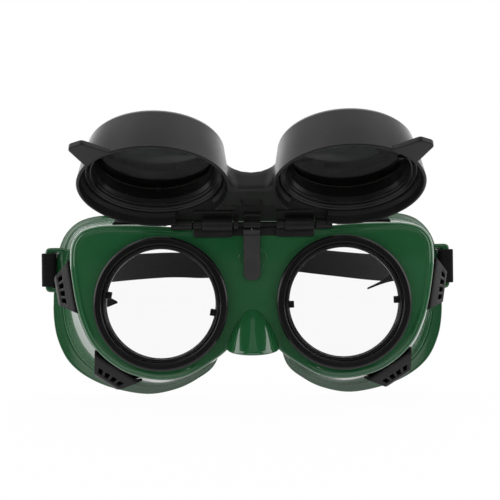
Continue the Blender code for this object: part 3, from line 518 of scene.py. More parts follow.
# paler lightens the green towards the mask's left side, where the left lamp falls: painted light.
paler = green.axis(0).band(-25.0, -80.0) * 0.45
skin_green = green.mix(blotch.band(0.44, 0.60) * 0.4 + paler, skin_green, (0.0260, 0.124, 0.0440))
green.put("Base Color", green.mix(deep * 0.45, skin_green, (0.0070, 0.068, 0.0210)))
green.put("Roughness", 0.17 + 0.08 * clouds + 0.05 * grain)
green.bump(0.7 * grain + 2.5 * clouds, 0.00003, 0.55)
print("nodes in the green", len(green.tree.nodes))


# %% Black plastics
def moulded(name, color, shine, scuff, gloss=0.32):
    """A moulded black: fine spark-eroded grain, faint flow clouds and a few paler scuffs."""
    finish = Finish(name, Specular_IOR_Level=gloss)
    fine, flow = finish.noise(3800.0, 2.0), finish.noise(90.0, 3.0)
    rub = finish.noise(420.0, 4.0, (1.0, 0.25, 1.0), 0.6).band(0.60, 0.74) * flow.band(0.45, 0.62)
    finish.put("Base Color", finish.mix(rub * 0.6, finish.mix(
        flow.band(0.35, 0.7), color, tuple(c * 1.25 for c in color)), scuff))
    finish.put("Roughness", shine + 0.10 * flow + 0.12 * rub + 0.05 * fine)
    return finish.bump(fine + 0.6 * flow, 0.00002, 0.45)


cup_black = moulded("cup_black", (0.0125, 0.0122, 0.0120), 0.30, (0.028, 0.027, 0.026), 0.22)
ring_black = moulded("ring_black", (0.0062, 0.0060, 0.0060), 0.14, (0.016, 0.016, 0.016))
vent_black = moulded("vent_black", (0.0125, 0.0120, 0.0120), 0.34, (0.034, 0.033, 0.032), 0.08)
slide_black = moulded("slide_black", (0.014, 0.014, 0.014), 0.36, (0.030, 0.030, 0.030))
tongue_black = moulded("tongue_black", (0.0310, 0.0305, 0.0305), 0.55, (0.048, 0.047, 0.047))
print("blacks", [m.name for m in bpy.data.materials if "black" in m.name])

# %% Glass, steel and fibre
shade = Finish("dark_lens", IOR=1.5, Specular_IOR_Level=0.3, Alpha=0.885)
haze = shade.noise(60.0, 2.0)
shade.put("Roughness", 0.03 + 0.04 * haze)
shade.put("Base Color", shade.mix(
    haze.band(0.3, 0.7), (0.0020, 0.0024, 0.0021), (0.0036, 0.0041, 0.0037)))

clear = Finish("clear_lens", Roughness=0.03, IOR=1.5)
dust = clear.noise(900.0, 3.0)
clear.put("Base Color", clear.mix(dust, (0.010, 0.014, 0.012), (0.030, 0.036, 0.032)))
clear.put("Alpha", 0.03 + 0.004 * dust.band(0.55, 0.75))

steel = Finish("blackened_steel", Metallic=1.0)
marks = steel.noise(1500.0, 3.0, (0.15, 1.0, 1.0))
steel.put("Base Color", steel.mix(marks, (0.020, 0.020, 0.021), (0.050, 0.050, 0.052)))
steel.put("Roughness", 0.34 + 0.20 * marks)

fibre = Finish("washer_fibre")
fluff = fibre.noise(2400.0, 5.0, rough=0.7)
fibre.put("Base Color", fibre.mix(fluff, (0.05, 0.045, 0.04), (0.12, 0.105, 0.09)))
fibre.put("Roughness", 0.78 + 0.15 * fluff)
fibre.bump(fluff, 0.00008, 0.8)
print("dark lens lets through about", round((1 - shade.shader.inputs["Alpha"].default_value) ** 2, 3))

# %% Woven elastic
RIB_PITCH, PICK_PITCH = 0.78, 0.52


def rows_of(line, pitch):
    """Round cords side by side: 0.5 + 0.5 cos(turns), 1 on top of each and 0 in the groove."""
    return 0.5 + 0.5 * (line * (2 * math.pi / pitch)).math("COSINE")


webbing = Finish("black_elastic", Specular_IOR_Level=0.2)
strap_map = webbing.node("UVMap", {"uv_map": "UVMap"}, {})
across, length = (webbing.node("SeparateXYZ", {}, {0: strap_map}, k) * (1 / MM) for k in (0, 1))
ribs = rows_of(across, RIB_PITCH)
picks = rows_of(length + ribs * (0.35 * PICK_PITCH), PICK_PITCH)
fuzz = webbing.noise(1800.0, 3.0)
weave = (0.65 * ribs + 0.35 * picks) * (0.75 + 0.5 * fuzz)
# The colour follows the weave: cord tops are painted lighter and grooves darker, a painted highlight on
# the tops and painted shade in the grooves.
webbing.put("Base Color", webbing.mix(weave, (0.0012, 0.0012, 0.0012), (0.0060, 0.0059, 0.0058)))
webbing.put("Roughness", 0.62 + 0.25 * fuzz)
webbing.bump(weave, 0.00014, 0.8)
print("finishes", [m.name for m in bpy.data.materials if m.users])

# %% [markdown]
# ## The soft mask
# One moulding: a flat front panel with two round holes, walls that flare back to the face, a thin
# flange round the seal, an arch over the nose and a half-cone that covers it. Three outlines drive
# it - the front rim, the end of the walls and the flange - each a smooth loop through the same
# stations, so every row of the skin is a loop between them. A box with Subdivision Surface would be
# quicker, but its walls wouldn't keep to the outlines or to one thickness.
# %% Outlines of the mask
PANEL, PANEL_BACK, WALL, WALL_FOOT = -34.2, -32.0, 2.2, 3.6
RIM_SIZE, WALL_SIZE, FLANGE_SIZE = (78.0, 34.1, 32.8), (83.6, 36.6, 38.4), (88.6, 39.0, 42.0)
RIM_SHARES = [
    (0, .93), (.256, .935), (.538, .985), (.744, 1), (.859, .985), (.942, .915), (.990, .762),
    (1, .528), (.987, .235), (.964, -.061), (.931, -.305), (.882, -.534), (.801, -.738),
    (.686, -.909), (.532, -1), (.385, -.970), (.254, -.811)]
WALL_SHARES = [
    (0, .956), (.251, .973), (.526, .989), (.730, 1), (.847, .970), (.927, .883), (.975, .716),
    (.995, .464), (1, .137), (.993, -.156), (.967, -.391), (.914, -.612), (.825, -.792),
    (.694, -.927), (.526, -1), (.378, -.943), (.258, -.802)]
FLANGE_SHARES = [
    (0, .962), (.248, .974), (.508, .990), (.711, 1), (.830, .959), (.905, .856), (.957, .682),
    (.986, .423), (1, .077), (.998, -.214), (.975, -.440), (.921, -.655), (.828, -.817),
    (.694, -.936), (.519, -1), (.372, -.943), (.262, -.824)]
SEAL_SHARES = np.array([
    .65, .68, .74, .80, .87, .93, .97, 1, 1, 1, .985, .955, .915, .87, .825, .765, .68, .575, .49,
    .42, .375, .36])
PER_SPAN, SPANS = 6, 21


def arch(foot_half, foot_z, apex_z):
    """The nose opening's edge: a parabola from its foot to its apex, five points."""
    t = np.linspace(0.0, 1.0, 5)
    return np.column_stack([foot_half * (1 - t), apex_z - (apex_z - foot_z) * (1 - t) ** 2])


def half_outline(shares, size, nose):
    """Shares of the half width and of the height above or below the lenses, then the nose arch."""
    half_width, top, bottom = size
    x, z = np.array(shares, float).T
    return np.vstack([np.column_stack([x * half_width, np.where(z > 0, z * top, z * bottom)]), nose])


rim_nose = np.vstack([(10.9, -20.0), arch(9.4, -19.6, -5.2)[1:]])
half = np.column_stack([
    half_outline(RIM_SHARES, RIM_SIZE, rim_nose),
    half_outline(WALL_SHARES, WALL_SIZE, arch(15.6, -24.5, 3.0)),
    half_outline(FLANGE_SHARES, FLANGE_SIZE, arch(15.9, -28.0, -0.4)),
    PANEL - SEAL_SHARES * PANEL])
MIRROR = np.array([-1, 1, -1, 1, -1, 1, 1])
stations = spline(np.vstack([half, half[-2:0:-1] * MIRROR]), PER_SPAN)
rim, wall_end, flange, seal = stations[:, 0:2], stations[:, 2:4], stations[:, 4:6], stations[:, 6]
around = np.arange(len(stations)) / PER_SPAN
around = np.minimum(around, 2 * SPANS - around)
print("mask outline columns", len(stations), "widest", round(flange[:, 0].max() * 2, 1))


# %% Rows of the mask's skin
def smoothstep(value, low, high):
    """0 below low, 1 above high, and 3t^2 - 2t^3 between."""
    t = np.clip((value - low) / (high - low), 0.0, 1.0)
    return t * t * (3 - 2 * t)


SKEW, SKEW_RUN = 2.2, (-31.0, 2.0)


def skew(points):
    """The soft mask and strap hang askew: their back part lies SKEW to the left."""
    points = points.copy()
    points[:, 0] -= SKEW * smoothstep(points[:, 1], *SKEW_RUN)
    return points


def level(loop, offset, depth):
    """A loop moved outwards by an offset and laid at a depth, as x, y, z."""
    flat = loop + normals(loop) * np.reshape(offset, (-1, 1))
    return np.column_stack([flat[:, 0], np.broadcast_to(depth, len(loop)), flat[:, 1]])


BEAD_AND_EDGE = [
    (-4.2, 0.0), (-3.3, 0.0), (-3.05, 0.05), (-2.75, 0.26), (-2.4, 0.40), (-2.0, 0.38), (-1.7, 0.18),
    (-1.5, 0.06), (-1.3, 0.10), (-1.05, 0.22), (-0.8, 0.10), (-0.48, -0.12), (-0.2, -0.45),
    (-0.03, -0.85), (0.0, -1.3)]
BEAD_START, BEAD_STOP = (1.0, 1.9), (14.6, 16.0)
bead = smoothstep(around, *BEAD_START) * (1 - smoothstep(around, *BEAD_STOP))
front_rows = [level(rim, inset, PANEL - rise * (bead if rise > 0 else 1.0))
              for inset, rise in BEAD_AND_EDGE]

middle, wall_from, wall_to = (rim + wall_end) / 2, PANEL + 2.8, seal - WALL_FOOT
wall_controls = np.stack([level(*row) for row in (
    (rim, 0.0, PANEL + 1.3), (rim, 0.0, wall_from), (middle, 0.0, (wall_from + wall_to) / 2),
    (wall_end, 0.0, seal - 3.9), (wall_end * 0.72 + flange * 0.28, 0.0, seal - 2.3),
    (wall_end * 0.25 + flange * 0.75, 0.0, seal - 1.55), (flange, -0.35, seal - 1.4))])


def down_rows(controls, samples):
    """A smooth line through the control rows, column by column."""
    flat = controls.reshape(len(controls), -1)
    return spline(flat, samples, closed=False).reshape(-1, *controls.shape[1:])


wall_rows = down_rows(wall_controls, 5)[1:]
lip = np.linspace(0.0, math.pi, 6)[1:]
lip_rows = [level(flange, -0.5 + 0.5 * math.sin(a), seal - 0.7 - 0.7 * math.cos(a)) for a in lip]
inner_rows = [level(*row) for row in (
    (flange * 0.3 + wall_end * 0.7, -1.3, seal - 0.15), (wall_end, -WALL, seal - 0.55),
    (wall_end, -WALL, wall_to), (middle, -WALL, (wall_from + wall_to) / 2), (rim, -WALL, PANEL + 3.9),
    (rim, -WALL - 0.3, PANEL_BACK + 0.5), (rim, -WALL - 1.4, PANEL_BACK))]
skin = np.stack([*front_rows, *wall_rows, *lip_rows, *inner_rows])
print("skin rows and columns", skin.shape[:2])

# %% Front and back of the panel
EYE_HALF, HOLE_RADIUS, PANEL_ROWS = 39.1, 26.9, 9


def half_boundary(loop):
    """The right half of a row of the skin, closed by the middle line, as x and z."""
    side = loop[:SPANS * PER_SPAN + 1, [0, 2]]
    middle_line = np.column_stack([np.zeros(30), np.linspace(side[-1, 1], side[0, 1], 32)[1:-1]])
    return np.vstack([side, middle_line])


def panel_parts():
    """Each half is a fan of straight lines, outline * t + hole * (1 - t), on its back and its front."""
    front, back = half_boundary(skin[0]), half_boundary(skin[-1])
    way = front - (EYE_HALF, 0.0)
    hole = way / np.linalg.norm(way, axis=1, keepdims=True) * HOLE_RADIUS + (EYE_HALF, 0.0)
    t = np.linspace(0.0, 1.0, PANEL_ROWS)[:, None, None]
    rows = np.concatenate([(back * t + hole * (1 - t))[::-1], front * t + hole * (1 - t)])
    points = xyz(rows[..., 0], np.repeat([PANEL_BACK, PANEL], PANEL_ROWS)[:, None], rows[..., 1])
    return [grid(points * (side, 1, 1)) for side in (1, -1)]


print("panel fans", len(panel_parts()))

# %% [markdown]
# ## Nose cone, strap loops and the stop ring
# The nose cone is a stack of half-ellipses that widen towards its hem; a small fillet joins it to
# the panel, and that fillet is the pale line down each of its sides. The strap loops are flat frames
# whose round section is carried between an inner and an outer outline. All of them reach into the
# mask's wall, so no Boolean is needed to join them to it.
# %% Nose cone
CONE_HALF, CONE_TOP, CONE_FOOT, CONE_REACH, HEM_DROP, CONE_WALL = 11.0, -2.8, -19.6, 11.0, 1.4, 1.8
CONE_FILLET, HEM_ROUND, CONE_ROWS, HEM_ROWS = 1.5, 0.7, 25, 5


def cone_shell():
    """Rows from apex to hem: forward reach grows as the share s, width as its square root. Each row is
    a fillet, the outer half-ellipse, the other fillet and the inner half-ellipse; the hem is round."""
    hem = np.concatenate([np.zeros(CONE_ROWS), np.linspace(0, math.pi / 2, HEM_ROWS + 1)[1:]])[:, None]
    tuck = 1 - np.cos(hem)
    s = np.concatenate([np.linspace(0.0, 1.0, CONE_ROWS + 1)[1:] ** 1.5, np.ones(HEM_ROWS)])[:, None]
    wide, far, wall = CONE_HALF * np.sqrt(s), CONE_REACH * s, CONE_WALL / 2 * np.minimum(1.0, 3 * s)
    r = CONE_FILLET * np.sqrt(s) * (1 - tuck)
    out_x, out_f = wide - wall * tuck, far - wall * tuck
    in_x, in_f = np.maximum(wide - wall * (2 - tuck), 0.05), np.maximum(far - wall * (2 - tuck), 0.02)
    a, b = np.linspace(0.0, math.pi, 49), np.linspace(math.pi / 2, 0.0, 5)[:-1]
    flare_x, flare_f = out_x + r * (1 - np.cos(b)), r * (1 - np.sin(b)) - 0.12
    x = np.hstack([flare_x, out_x * np.cos(a[1:-1]), -flare_x[:, ::-1], in_x * np.cos(a[::-1])])
    forward = np.hstack([flare_f, 0.25 * r + out_f * np.sin(a[1:-1]), flare_f[:, ::-1],
                         (in_f + 1.0) * np.sin(a[::-1]) - 1.0])
    lower = HEM_DROP * s * np.concatenate([0 * b, np.sin(a[1:-1]), 0 * b, np.sin(a[::-1])])
    z = CONE_TOP + (CONE_FOOT - CONE_TOP) * s - HEM_ROUND * np.sin(hem)
    return grid(xyz(x, PANEL - forward, z - lower), "capped")


print("nose cone faces", len(cone_shell()[1]))

# %% Strap loops and stop ring
LOOP_X, LOOP_Z, LOOP_DEPTH = (81.6, 92.0), (4.2, 24.6), (-3.0, 0.0)
SLOT_X, SLOT_Z = (84.8, 88.4), (6.5, 22.3)
STOP_MIDDLE, STOP_HALF, STOP_RIDGE, STOP_RISE = (0.3, 19.15), (5.75, 4.65), 0.34, 0.30


def frame_outline(xs, zs, radius):
    """A rectangle with round corners, clockwise from its upper left."""
    return soften([(xs[0], zs[1]), (xs[1], zs[1]), (xs[1], zs[0]), (xs[0], zs[0])], radius, 6)


def strap_loop(side):
    """A section carried from the slot's outline to the frame's: both its shares are 0.5 + 0.5 of the
    cosine or sine, with its size to the power 0.55, so it is a square with round corners."""
    outer, inner = frame_outline(LOOP_X, LOOP_Z, 2.6), frame_outline(SLOT_X, SLOT_Z, 1.0)
    a = circle(24)
    across, deep = (0.5 + 0.5 * np.sign(wave) * np.abs(wave) ** 0.55 for wave in (np.cos(a), np.sin(a)))
    flat = inner + (outer - inner) * across[:, None, None]
    depth = LOOP_DEPTH[0] + (LOOP_DEPTH[1] - LOOP_DEPTH[0]) * deep[:, None]
    return grid(xyz(side * flat[..., 0], depth, flat[..., 1]), "joined")


def stop_ring():
    """The raised oval behind the spring tongue: a small round ridge along an ellipse."""
    a, b = circle(72), np.linspace(0.0, math.pi, 7)[:, None]
    half_x, half_z = (half - STOP_RIDGE * np.cos(b) for half in STOP_HALF)
    return grid(xyz(STOP_MIDDLE[0] + half_x * np.cos(a), PANEL + 0.05 - STOP_RISE * np.sin(b),
                    STOP_MIDDLE[1] + half_z * np.sin(a)), "joined")


mask_parts = [weld(grid(skin), *panel_parts()), cone_shell(), strap_loop(1), strap_loop(-1),
              stop_ring()]
ride_piece("soft_mask", [moved(part, skew) for part in mask_parts], green, ["mask_body"],
           sharp=60)

# %% [markdown]
# ## Threaded bezels, retaining rings and clear lenses
# Each eye has a bezel clipped into the mask, and a retaining ring with two lugs screwed into it.
# They are turned parts: a closed profile of radius and distance, turned about the eye's axis. The
# bevels on their edges are what shows: a thin pale line on either side of a flat dark band. A Screw
# modifier turns a profile too, but here the lugs and the joined ends come in the same step.
# %% Bezels and rings
BEZEL_FRONT = -38.0
BEZEL_PROFILE = [
    (27.9, 0.0), (28.75, -0.7), (28.75, -3.5), (26.6, -3.5), (26.6, -6.3), (28.2, -6.3), (28.2, -7.8),
    (26.6, -9.4), (24.0, -9.4), (24.0, -7.9), (25.3, -7.9), (25.3, -0.45), (25.75, 0.0)]
RING_PROFILE = [
    (25.0, -1.2), (25.0, -4.5), (23.3, -4.5), (23.3, -3.1), (23.75, -2.6), (23.75, -2.0), (24.45, -1.2)]
BODY_LUG, RING_TURN = ((21.3, 2.6, -1.5), (24.1, 4.2, 1.5)), {-1: math.radians(-10), 1: math.radians(2)}
SIDES = ((-1, "left"), (1, "right"))


def spun(u, v, angle):
    """Two coordinates turned by an angle: u cos - v sin, u sin + v cos."""
    c, s = math.cos(angle), math.sin(angle)
    return c * u - s * v, s * u + c * v


def lugs(centre, corners, angle):
    """Two boxes opposite each other, from corners measured from the centre and turned about Y."""
    points, faces = rounded_box(*corners, 0.3)
    turns = [spun(points[:, 0], points[:, 2], angle + more) for more in (0.0, math.pi)]
    return [(centre + np.column_stack([x, points[:, 1], z]), faces) for x, z in turns]


for side, name in SIDES:
    eye = (side * EYE_HALF, BEZEL_FRONT, 0.0)
    ride_piece(f"bezel_ring_{name}", [turned(BEZEL_PROFILE, eye, 160)], ring_black, [f"bezel_{name}"])
    ring = turned(RING_PROFILE, eye, 144, 0.12)
    ride_piece(f"retaining_ring_{name}", [ring, *lugs(eye, BODY_LUG, RING_TURN[side])], ring_black,
               [f"lens_ring_{name}"])


# %% Finishes of the CAD pieces that stay
STAYING = {"clear_lens": clear, "cover_lens": clear, "shade_lens": shade, "lens_washer": fibre,
           "shade_washer": fibre}


def refinish(node, finish):
    """Gives a CAD node that stays another material."""
    for slot in frame["nodes"][node].material_slots:
        slot.material = finish.material


for stem, finish in STAYING.items():
    for _, name in SIDES:
        refinish(f"{stem}_{name}", finish)
refinish("hinge_pin", steel)
print("refinished", list(STAYING), "and hinge_pin")

# %% [markdown]
# ## The flip-up front
# The front is worked out closed, in the hinge's own frame, where its cups face forwards, and then
# raised by turning it about the hinge axis, because its sizes are easier to read when it is level.
# Its cups are cones turned about their own axis; the web between them is a stack of sections that end
# inside the cups' walls. Booleans could join them, but leave ragged shading on the fillets.
# %% Raised by the hinge
HINGE_Y, HINGE_Z, FLIP = -37.0, 33.6, math.radians(118.3)
RIM_PLANE = 2.5


def raise_up(points):
    """Turns points from the closed hinge frame up about X, and moves them to the hinge axis."""
    y, z = spun(points[:, 1], points[:, 2], -FLIP)
    return np.column_stack([points[:, 0], HINGE_Y + y, HINGE_Z + z])


print("middle of a raised rim", raise_up(np.array([[EYE_HALF, RIM_PLANE, -HINGE_Z]])).round(1))


# %% Cups and ears
CUP_RIM, CUP_FRONT, CUP_DEPTH, CUP_WALL, SWELL, FULLER = 30.8, 26.5, 19.7, 1.3, 0.4, 0.8
VIEW_RADIUS, BORE, LIFT = 23.3, 25.3, 0.2
EAR_SHARES = [(.828, .59), (.98, .925), (.96, .985), (.80, 1.068), (.458, .857)]
EAR_ROOT, EAR_THICK = 0.975, 2.2


def cup_outer(share):
    """Outer radius of a cup at a share of its depth: a cone with a slight swell."""
    return CUP_RIM + (CUP_FRONT - CUP_RIM) * share + SWELL * np.sin(math.pi * share)


def cup_profile():
    """Radius and depth from the rim plane: the front edge, the outside, the rim with a groove and a
    bevel behind it, the thread's bore and the ledge in front of the lens."""
    share = np.linspace(0.93, 0.03, 12)
    outer = np.column_stack([cup_outer(share), share * CUP_DEPTH])
    front = [(VIEW_RADIUS + 0.5, CUP_DEPTH), (CUP_FRONT - 0.7, CUP_DEPTH), (CUP_FRONT, CUP_DEPTH - 0.8)]
    rim_edge = [(CUP_RIM, 0.35 + LIFT), (CUP_RIM - 0.35, LIFT), (CUP_RIM - CUP_WALL, LIFT)]
    inside = [(29.35, 3.6), (29.0, 3.6), (28.95, 3.25), (27.9, 4.8), (27.85, 6.6), (BORE, 6.6),
              (BORE, 18.9), (VIEW_RADIUS, 18.9), (VIEW_RADIUS, CUP_DEPTH - 0.5)]
    return np.vstack([front, outer, rim_edge, inside])


def fuller_front(side):
    """Towards its front a cup grows by FULLER and leans as much towards the middle, both by the
    square of the share of its depth."""
    def change(points):
        """The points of one cup, moved so."""
        depth = RIM_PLANE - points[:, 1]
        share = FULLER * np.clip(depth / CUP_DEPTH, 0.0, 1.0) ** 2
        x, z = points[:, 0] - side * EYE_HALF, points[:, 2] + HINGE_Z
        grow = 1 + share / np.maximum(np.hypot(x, z), 1.0)
        return np.column_stack([side * EYE_HALF + x * grow - side * share, points[:, 1],
                                z * grow - HINGE_Z])
    return change


def ear(side):
    """The finger ear: round corners outside, and a root along the circle in the middle of the wall."""
    a = np.radians(np.linspace(60.5, 37.0, 8))[:, None]
    shares = np.vstack([EAR_SHARES, EAR_ROOT * np.hstack([np.cos(a), np.sin(a)])])
    outline = np.column_stack([side * (EYE_HALF + shares[:, 0] * CUP_RIM),
                               -HINGE_Z - shares[:, 1] * CUP_RIM])
    outline = soften(outline, 1.1, 4, beside=0.3)[::side]
    return slab(outline, RIM_PLANE - 0.15 - EAR_THICK, RIM_PLANE - 0.15, 0.35)


print("points of the cup's profile", len(cup_profile()))

# %% The web between the cups
WEB_HALF, WEB_FRONT, WEB_START, WEB_END = 34.1, 8.1, -3.9, 31.8
POCKET_HALF, POCKET_END, POCKET_CEILING, LIP = 31.9, 15.8, 5.8, 2.2
SADDLE_X, SADDLE_DEPTH = [0.0, 4.0, 6.4, 9.0, 10.9, 19.0], [8.5, 9.05, 10.1, 11.3, 12.5, 15.0]
SADDLE_RUN, LIP_RUN, RECESS_SIDE, RECESS_END = (12.0, 15.5), (16.2, 20.3), (4.0, 4.3), (24.3, 24.7)


def web_reach(s, depth):
    """Half width of the web: its own edge, or the middle of the cup's wall where that comes first."""
    radius = cup_outer(depth / CUP_DEPTH) - CUP_WALL / 2
    inside = np.maximum(radius ** 2 - (s - HINGE_Z) ** 2, 0.0)
    return np.minimum(WEB_HALF, EYE_HALF - np.sqrt(inside))


def web_depth(x, s):
    """Depth of the web's front: flat near the hinge, a saddle that rises to the cups further on."""
    saddle = np.interp(np.abs(x), SADDLE_X, SADDLE_DEPTH)
    return WEB_FRONT + (saddle - WEB_FRONT) * smoothstep(s, *SADDLE_RUN)


def web_rear(x, s):
    """Depth of its back: the pocket's ceiling, then a slope up to the rims, sunk behind the tongue."""
    sunk = (1 - smoothstep(np.abs(x), *RECESS_SIDE)) * (1 - smoothstep(s, *RECESS_END))
    face = LIFT + (LIP - LIFT) * np.maximum(sunk, 1 - smoothstep(s, *LIP_RUN))
    face = face + 0.35 * np.clip((16.1 - s) / 0.35, 0.0, 1.0)
    return np.where(s < POCKET_END - 0.05, POCKET_CEILING, face)


print("half width of the web where the cups meet it", round(float(web_reach(20.0, 10.0)), 1))


# %% The web's shell
def web_shell():
    """Sections across the web from the hinge outwards: the front's columns, then the back's, reversed.
    Both ends are drawn in a little, and the front is sought with its edge at its own depth."""
    first, last = [WEB_START, WEB_START + 0.12, WEB_START + 0.4], [31.3, 31.65, WEB_END]
    s = np.concatenate([
        first, np.linspace(-2.0, 3.5, 8), [3.8, 3.95], np.linspace(4.6, 15.3, 16), [15.72, 15.8, 15.9],
        np.linspace(16.1, 24.2, 16), [24.3, 24.5, 24.7], np.linspace(25.2, 31.3, 12),
        last[1:]])[:, None]
    inset = np.interp(s, first + last, [0.4, 0.12, 0.0, 0.0, 0.12, 0.4])
    edge = web_reach(s, WEB_FRONT)
    for _ in range(6):
        edge = web_reach(s, web_depth(edge, s))
    front_x = np.hstack([(edge - 0.45) * np.linspace(0.0, 1.0, 17), edge - 0.13, edge, edge])
    front_d = web_depth(front_x, s) - inset - np.array([0.0] * 17 + [0.13, 0.45, 1.2])
    rear, walled = web_reach(s, 1.0), s < 3.87
    hollow = np.where(walled, np.minimum(POCKET_HALF, rear - 0.9), rear - 0.6)
    inner = np.minimum(4.4, hollow * 0.6)
    rear_x = np.hstack([inner * np.array([0.0, 0.32, 0.61, 0.91, 1.0]),
                        inner + (hollow - inner) * np.linspace(0.0, 1.0, 12)[1:],
                        hollow, hollow + 0.25, rear - 0.25, rear])
    rear_d = web_rear(rear_x, s) + inset
    lip = np.where(walled, LIP, rear_d[:, 16:17]) + inset * walled
    rear_d[:, 16:] = lip + np.array([0.3, 0.0, 0.0, 0.3]) * walled
    halves = [xyz(x, RIM_PLANE - d, -s) for x, d in ((front_x, front_d), (rear_x, rear_d))]
    front, back = [np.hstack([half[:, :0:-1] * (-1, 1, 1), half]) for half in halves]
    return grid(np.hstack([front, back[:, ::-1]]), "zipped")


print("web shell faces", len(web_shell()[1]))

# %% The web's end
FILLET, END_AT_RIM, END_LEAN, FLAT_SHARE = 4.0, 32.9, 0.09, 0.4


def web_end():
    """The web's far end: a flat with a round of radius FILLET to each cup, at every depth."""
    t = np.linspace(-1.0, 1.0, 53)[:, None]
    flat_share = np.minimum(np.abs(t) / FLAT_SHARE, 1.0)
    bend = np.maximum(np.abs(t) - FLAT_SHARE, 0.0) / (1 - FLAT_SHARE)

    def place(drawn, depth):
        """x and s of the end's surface at a depth, drawn in by a distance along its normal."""
        middle = END_AT_RIM - END_LEAN * depth + FILLET
        gap = cup_outer(depth / CUP_DEPTH) + FILLET
        flat = EYE_HALF - np.sqrt(gap ** 2 - (middle - HINGE_Z) ** 2)
        turn_by = bend * np.arctan2(EYE_HALF - flat, middle - HINGE_Z)
        x = np.sign(t) * (flat * flat_share + (FILLET + drawn) * np.sin(turn_by))
        return x, middle - (FILLET + drawn) * np.cos(turn_by)

    top = np.full_like(t, 10.0)
    for _ in range(6):
        top = np.interp(np.abs(place(0.0, top)[0]), SADDLE_X, SADDLE_DEPTH)
    root = 0.8 + 3.0 * np.cos(bend * math.pi / 2) ** 2
    drawn = np.array([0, 0, 0, 0, 0, .1, .35, 0, 0, .35, .1]) + root * np.isin(np.arange(11), (7, 8))
    depth = (LIFT + (top - LIFT) * np.array([0, .25, .5, .75, 1, 1, 1, 1, 0, 0, 0])
             + np.array([.35, .17, 0, -.17, -.35, -.1, 0, -.04, .04, 0, .1]))
    x, s = place(drawn, depth)
    return grid(xyz(x, RIM_PLANE - depth, -s), "capped")


print("web end faces", len(web_end()[1]))

# %% Cups cut open by the pocket
SKIRT = CUP_RIM - CUP_WALL / 2
CUT_ANGLES = (math.acos((POCKET_HALF - EYE_HALF) / SKIRT),
              math.pi - math.asin((HINGE_Z - POCKET_END) / SKIRT))


def cup(side):
    """The turned cup, its skirt lowered to the pocket's ceiling between the pocket's two angles."""
    low, high = CUT_ANGLES
    step = math.radians(0.2)
    angles = np.sort(np.concatenate([circle(176), [low - step, low + step, high - step, high + step]]))
    points, faces = turned(cup_profile(), (EYE_HALF, RIM_PLANE, -HINGE_Z), angles, 0.22)
    columns = np.arange(len(points)) % len(angles)
    lowered = (angles[columns] > low) & (angles[columns] < high)
    skirt = np.minimum(points[:, 1], RIM_PLANE - POCKET_CEILING - 0.1)
    points[:, 1] = np.where(lowered, skirt, points[:, 1])
    return points * (side, 1, 1), faces


print("skirt cut between", np.degrees(CUT_ANGLES).round(1), "degrees")

# %% Knuckles, ledges, ribs and cam
LEDGE, RIB = ((-3.6, 0.35), (-16.1, -13.0)), ((-3.6, -2.2), (-6.6, -5.8))
KNUCKLES = [((-34.1, -25.3), 2.3), ((27.1, 34.1), 2.3), ((-7.6, -5.6), 2.3), ((-3.4, 3.8), 2.0)]
BLOCKS = [((-15.4, -7.4), *LEDGE), ((10.2, 15.4), *LEDGE), ((-24.4, -7.6), *RIB), ((10.4, 26.4), *RIB),
          ((-7.6, -5.6), (-5.3, -1.2), (-1.84, 1.84)), ((-3.4, 3.8), (-5.3, -1.2), (-1.6, 1.6))]
CAM = ((-3.4, -3.9, -4.6), (3.8, -1.9, -2.4), 0.4)


def tube(radius, span, edge=0.25, steps=40, centre=(0.0, 0.0), bore=1.3):
    """A bored round bar along X: a closed profile turned about the hinge line."""
    line = soften([(bore, span[0]), (radius, span[0]), (radius, span[1]), (bore, span[1])], edge)
    return grid(lathe(line, circle(steps)) + (0.0, *centre), "joined")


front_parts = [web_shell(), web_end()] + [tube(radius, span) for span, radius in KNUCKLES]
front_parts += [rounded_box(*zip(*spans), 0.3) for spans in BLOCKS]
front_parts.append(rounded_box(*CAM))
for side in (-1, 1):
    front_parts += [moved(cup(side), fuller_front(side)), ear(side)]
ride_piece("flip_front_frame", [moved(part, raise_up) for part in front_parts], cup_black,
           ["flip_frame"], "front")

# %% Retaining rings of the dark lenses
SHADE_RING = [
    (25.0, 14.2), (25.0, 6.3), (27.6, 6.3), (27.6, 5.3), (27.0, 5.3), (26.35, 5.6), (26.25, 5.95),
    (25.45, 6.4), (25.35, 6.75), (24.55, 7.3), (24.45, 7.8), (23.3, 9.2), (23.3, 14.2)]
SHADE_LUG = ((20.2, -14.2, -1.5), (24.0, -12.6, 1.5))
for side, name in SIDES:
    centre = (side * EYE_HALF, RIM_PLANE, -HINGE_Z)
    parts = [turned(SHADE_RING, centre, 160, 0.12), *lugs(centre, SHADE_LUG, math.pi * (1 - side) / 4)]
    ride_piece(f"shade_retaining_ring_{name}", [moved(part, raise_up) for part in parts], ring_black,
               [f"shade_ring_{name}"], "front")

# %% [markdown]
# ## Hinge brackets and spring tongue
# Two plates on the panel carry the fixed knuckles of the hinge, and flat strips at their feet close
# the gap under it; the outer strip on each side, behind the outer knuckle, is a black piece that
# stands in for the shade in that gap (painted shade). The tongue is a leaf spring bent along one
# line, riveted to the mask; the front snaps over its upper edge. All are plates and bars worked out
# where they sit.
# %% Brackets
HINGE_LINE = (HINGE_Y, HINGE_Z)
PLATE_FRONT, PLATE_BACK = -36.0, -34.5
BRACKETS = {"left": ((-24.8, -21.2), (-21.2, -8.2)), "right": ((10.6, 14.2), (14.2, 26.6))}
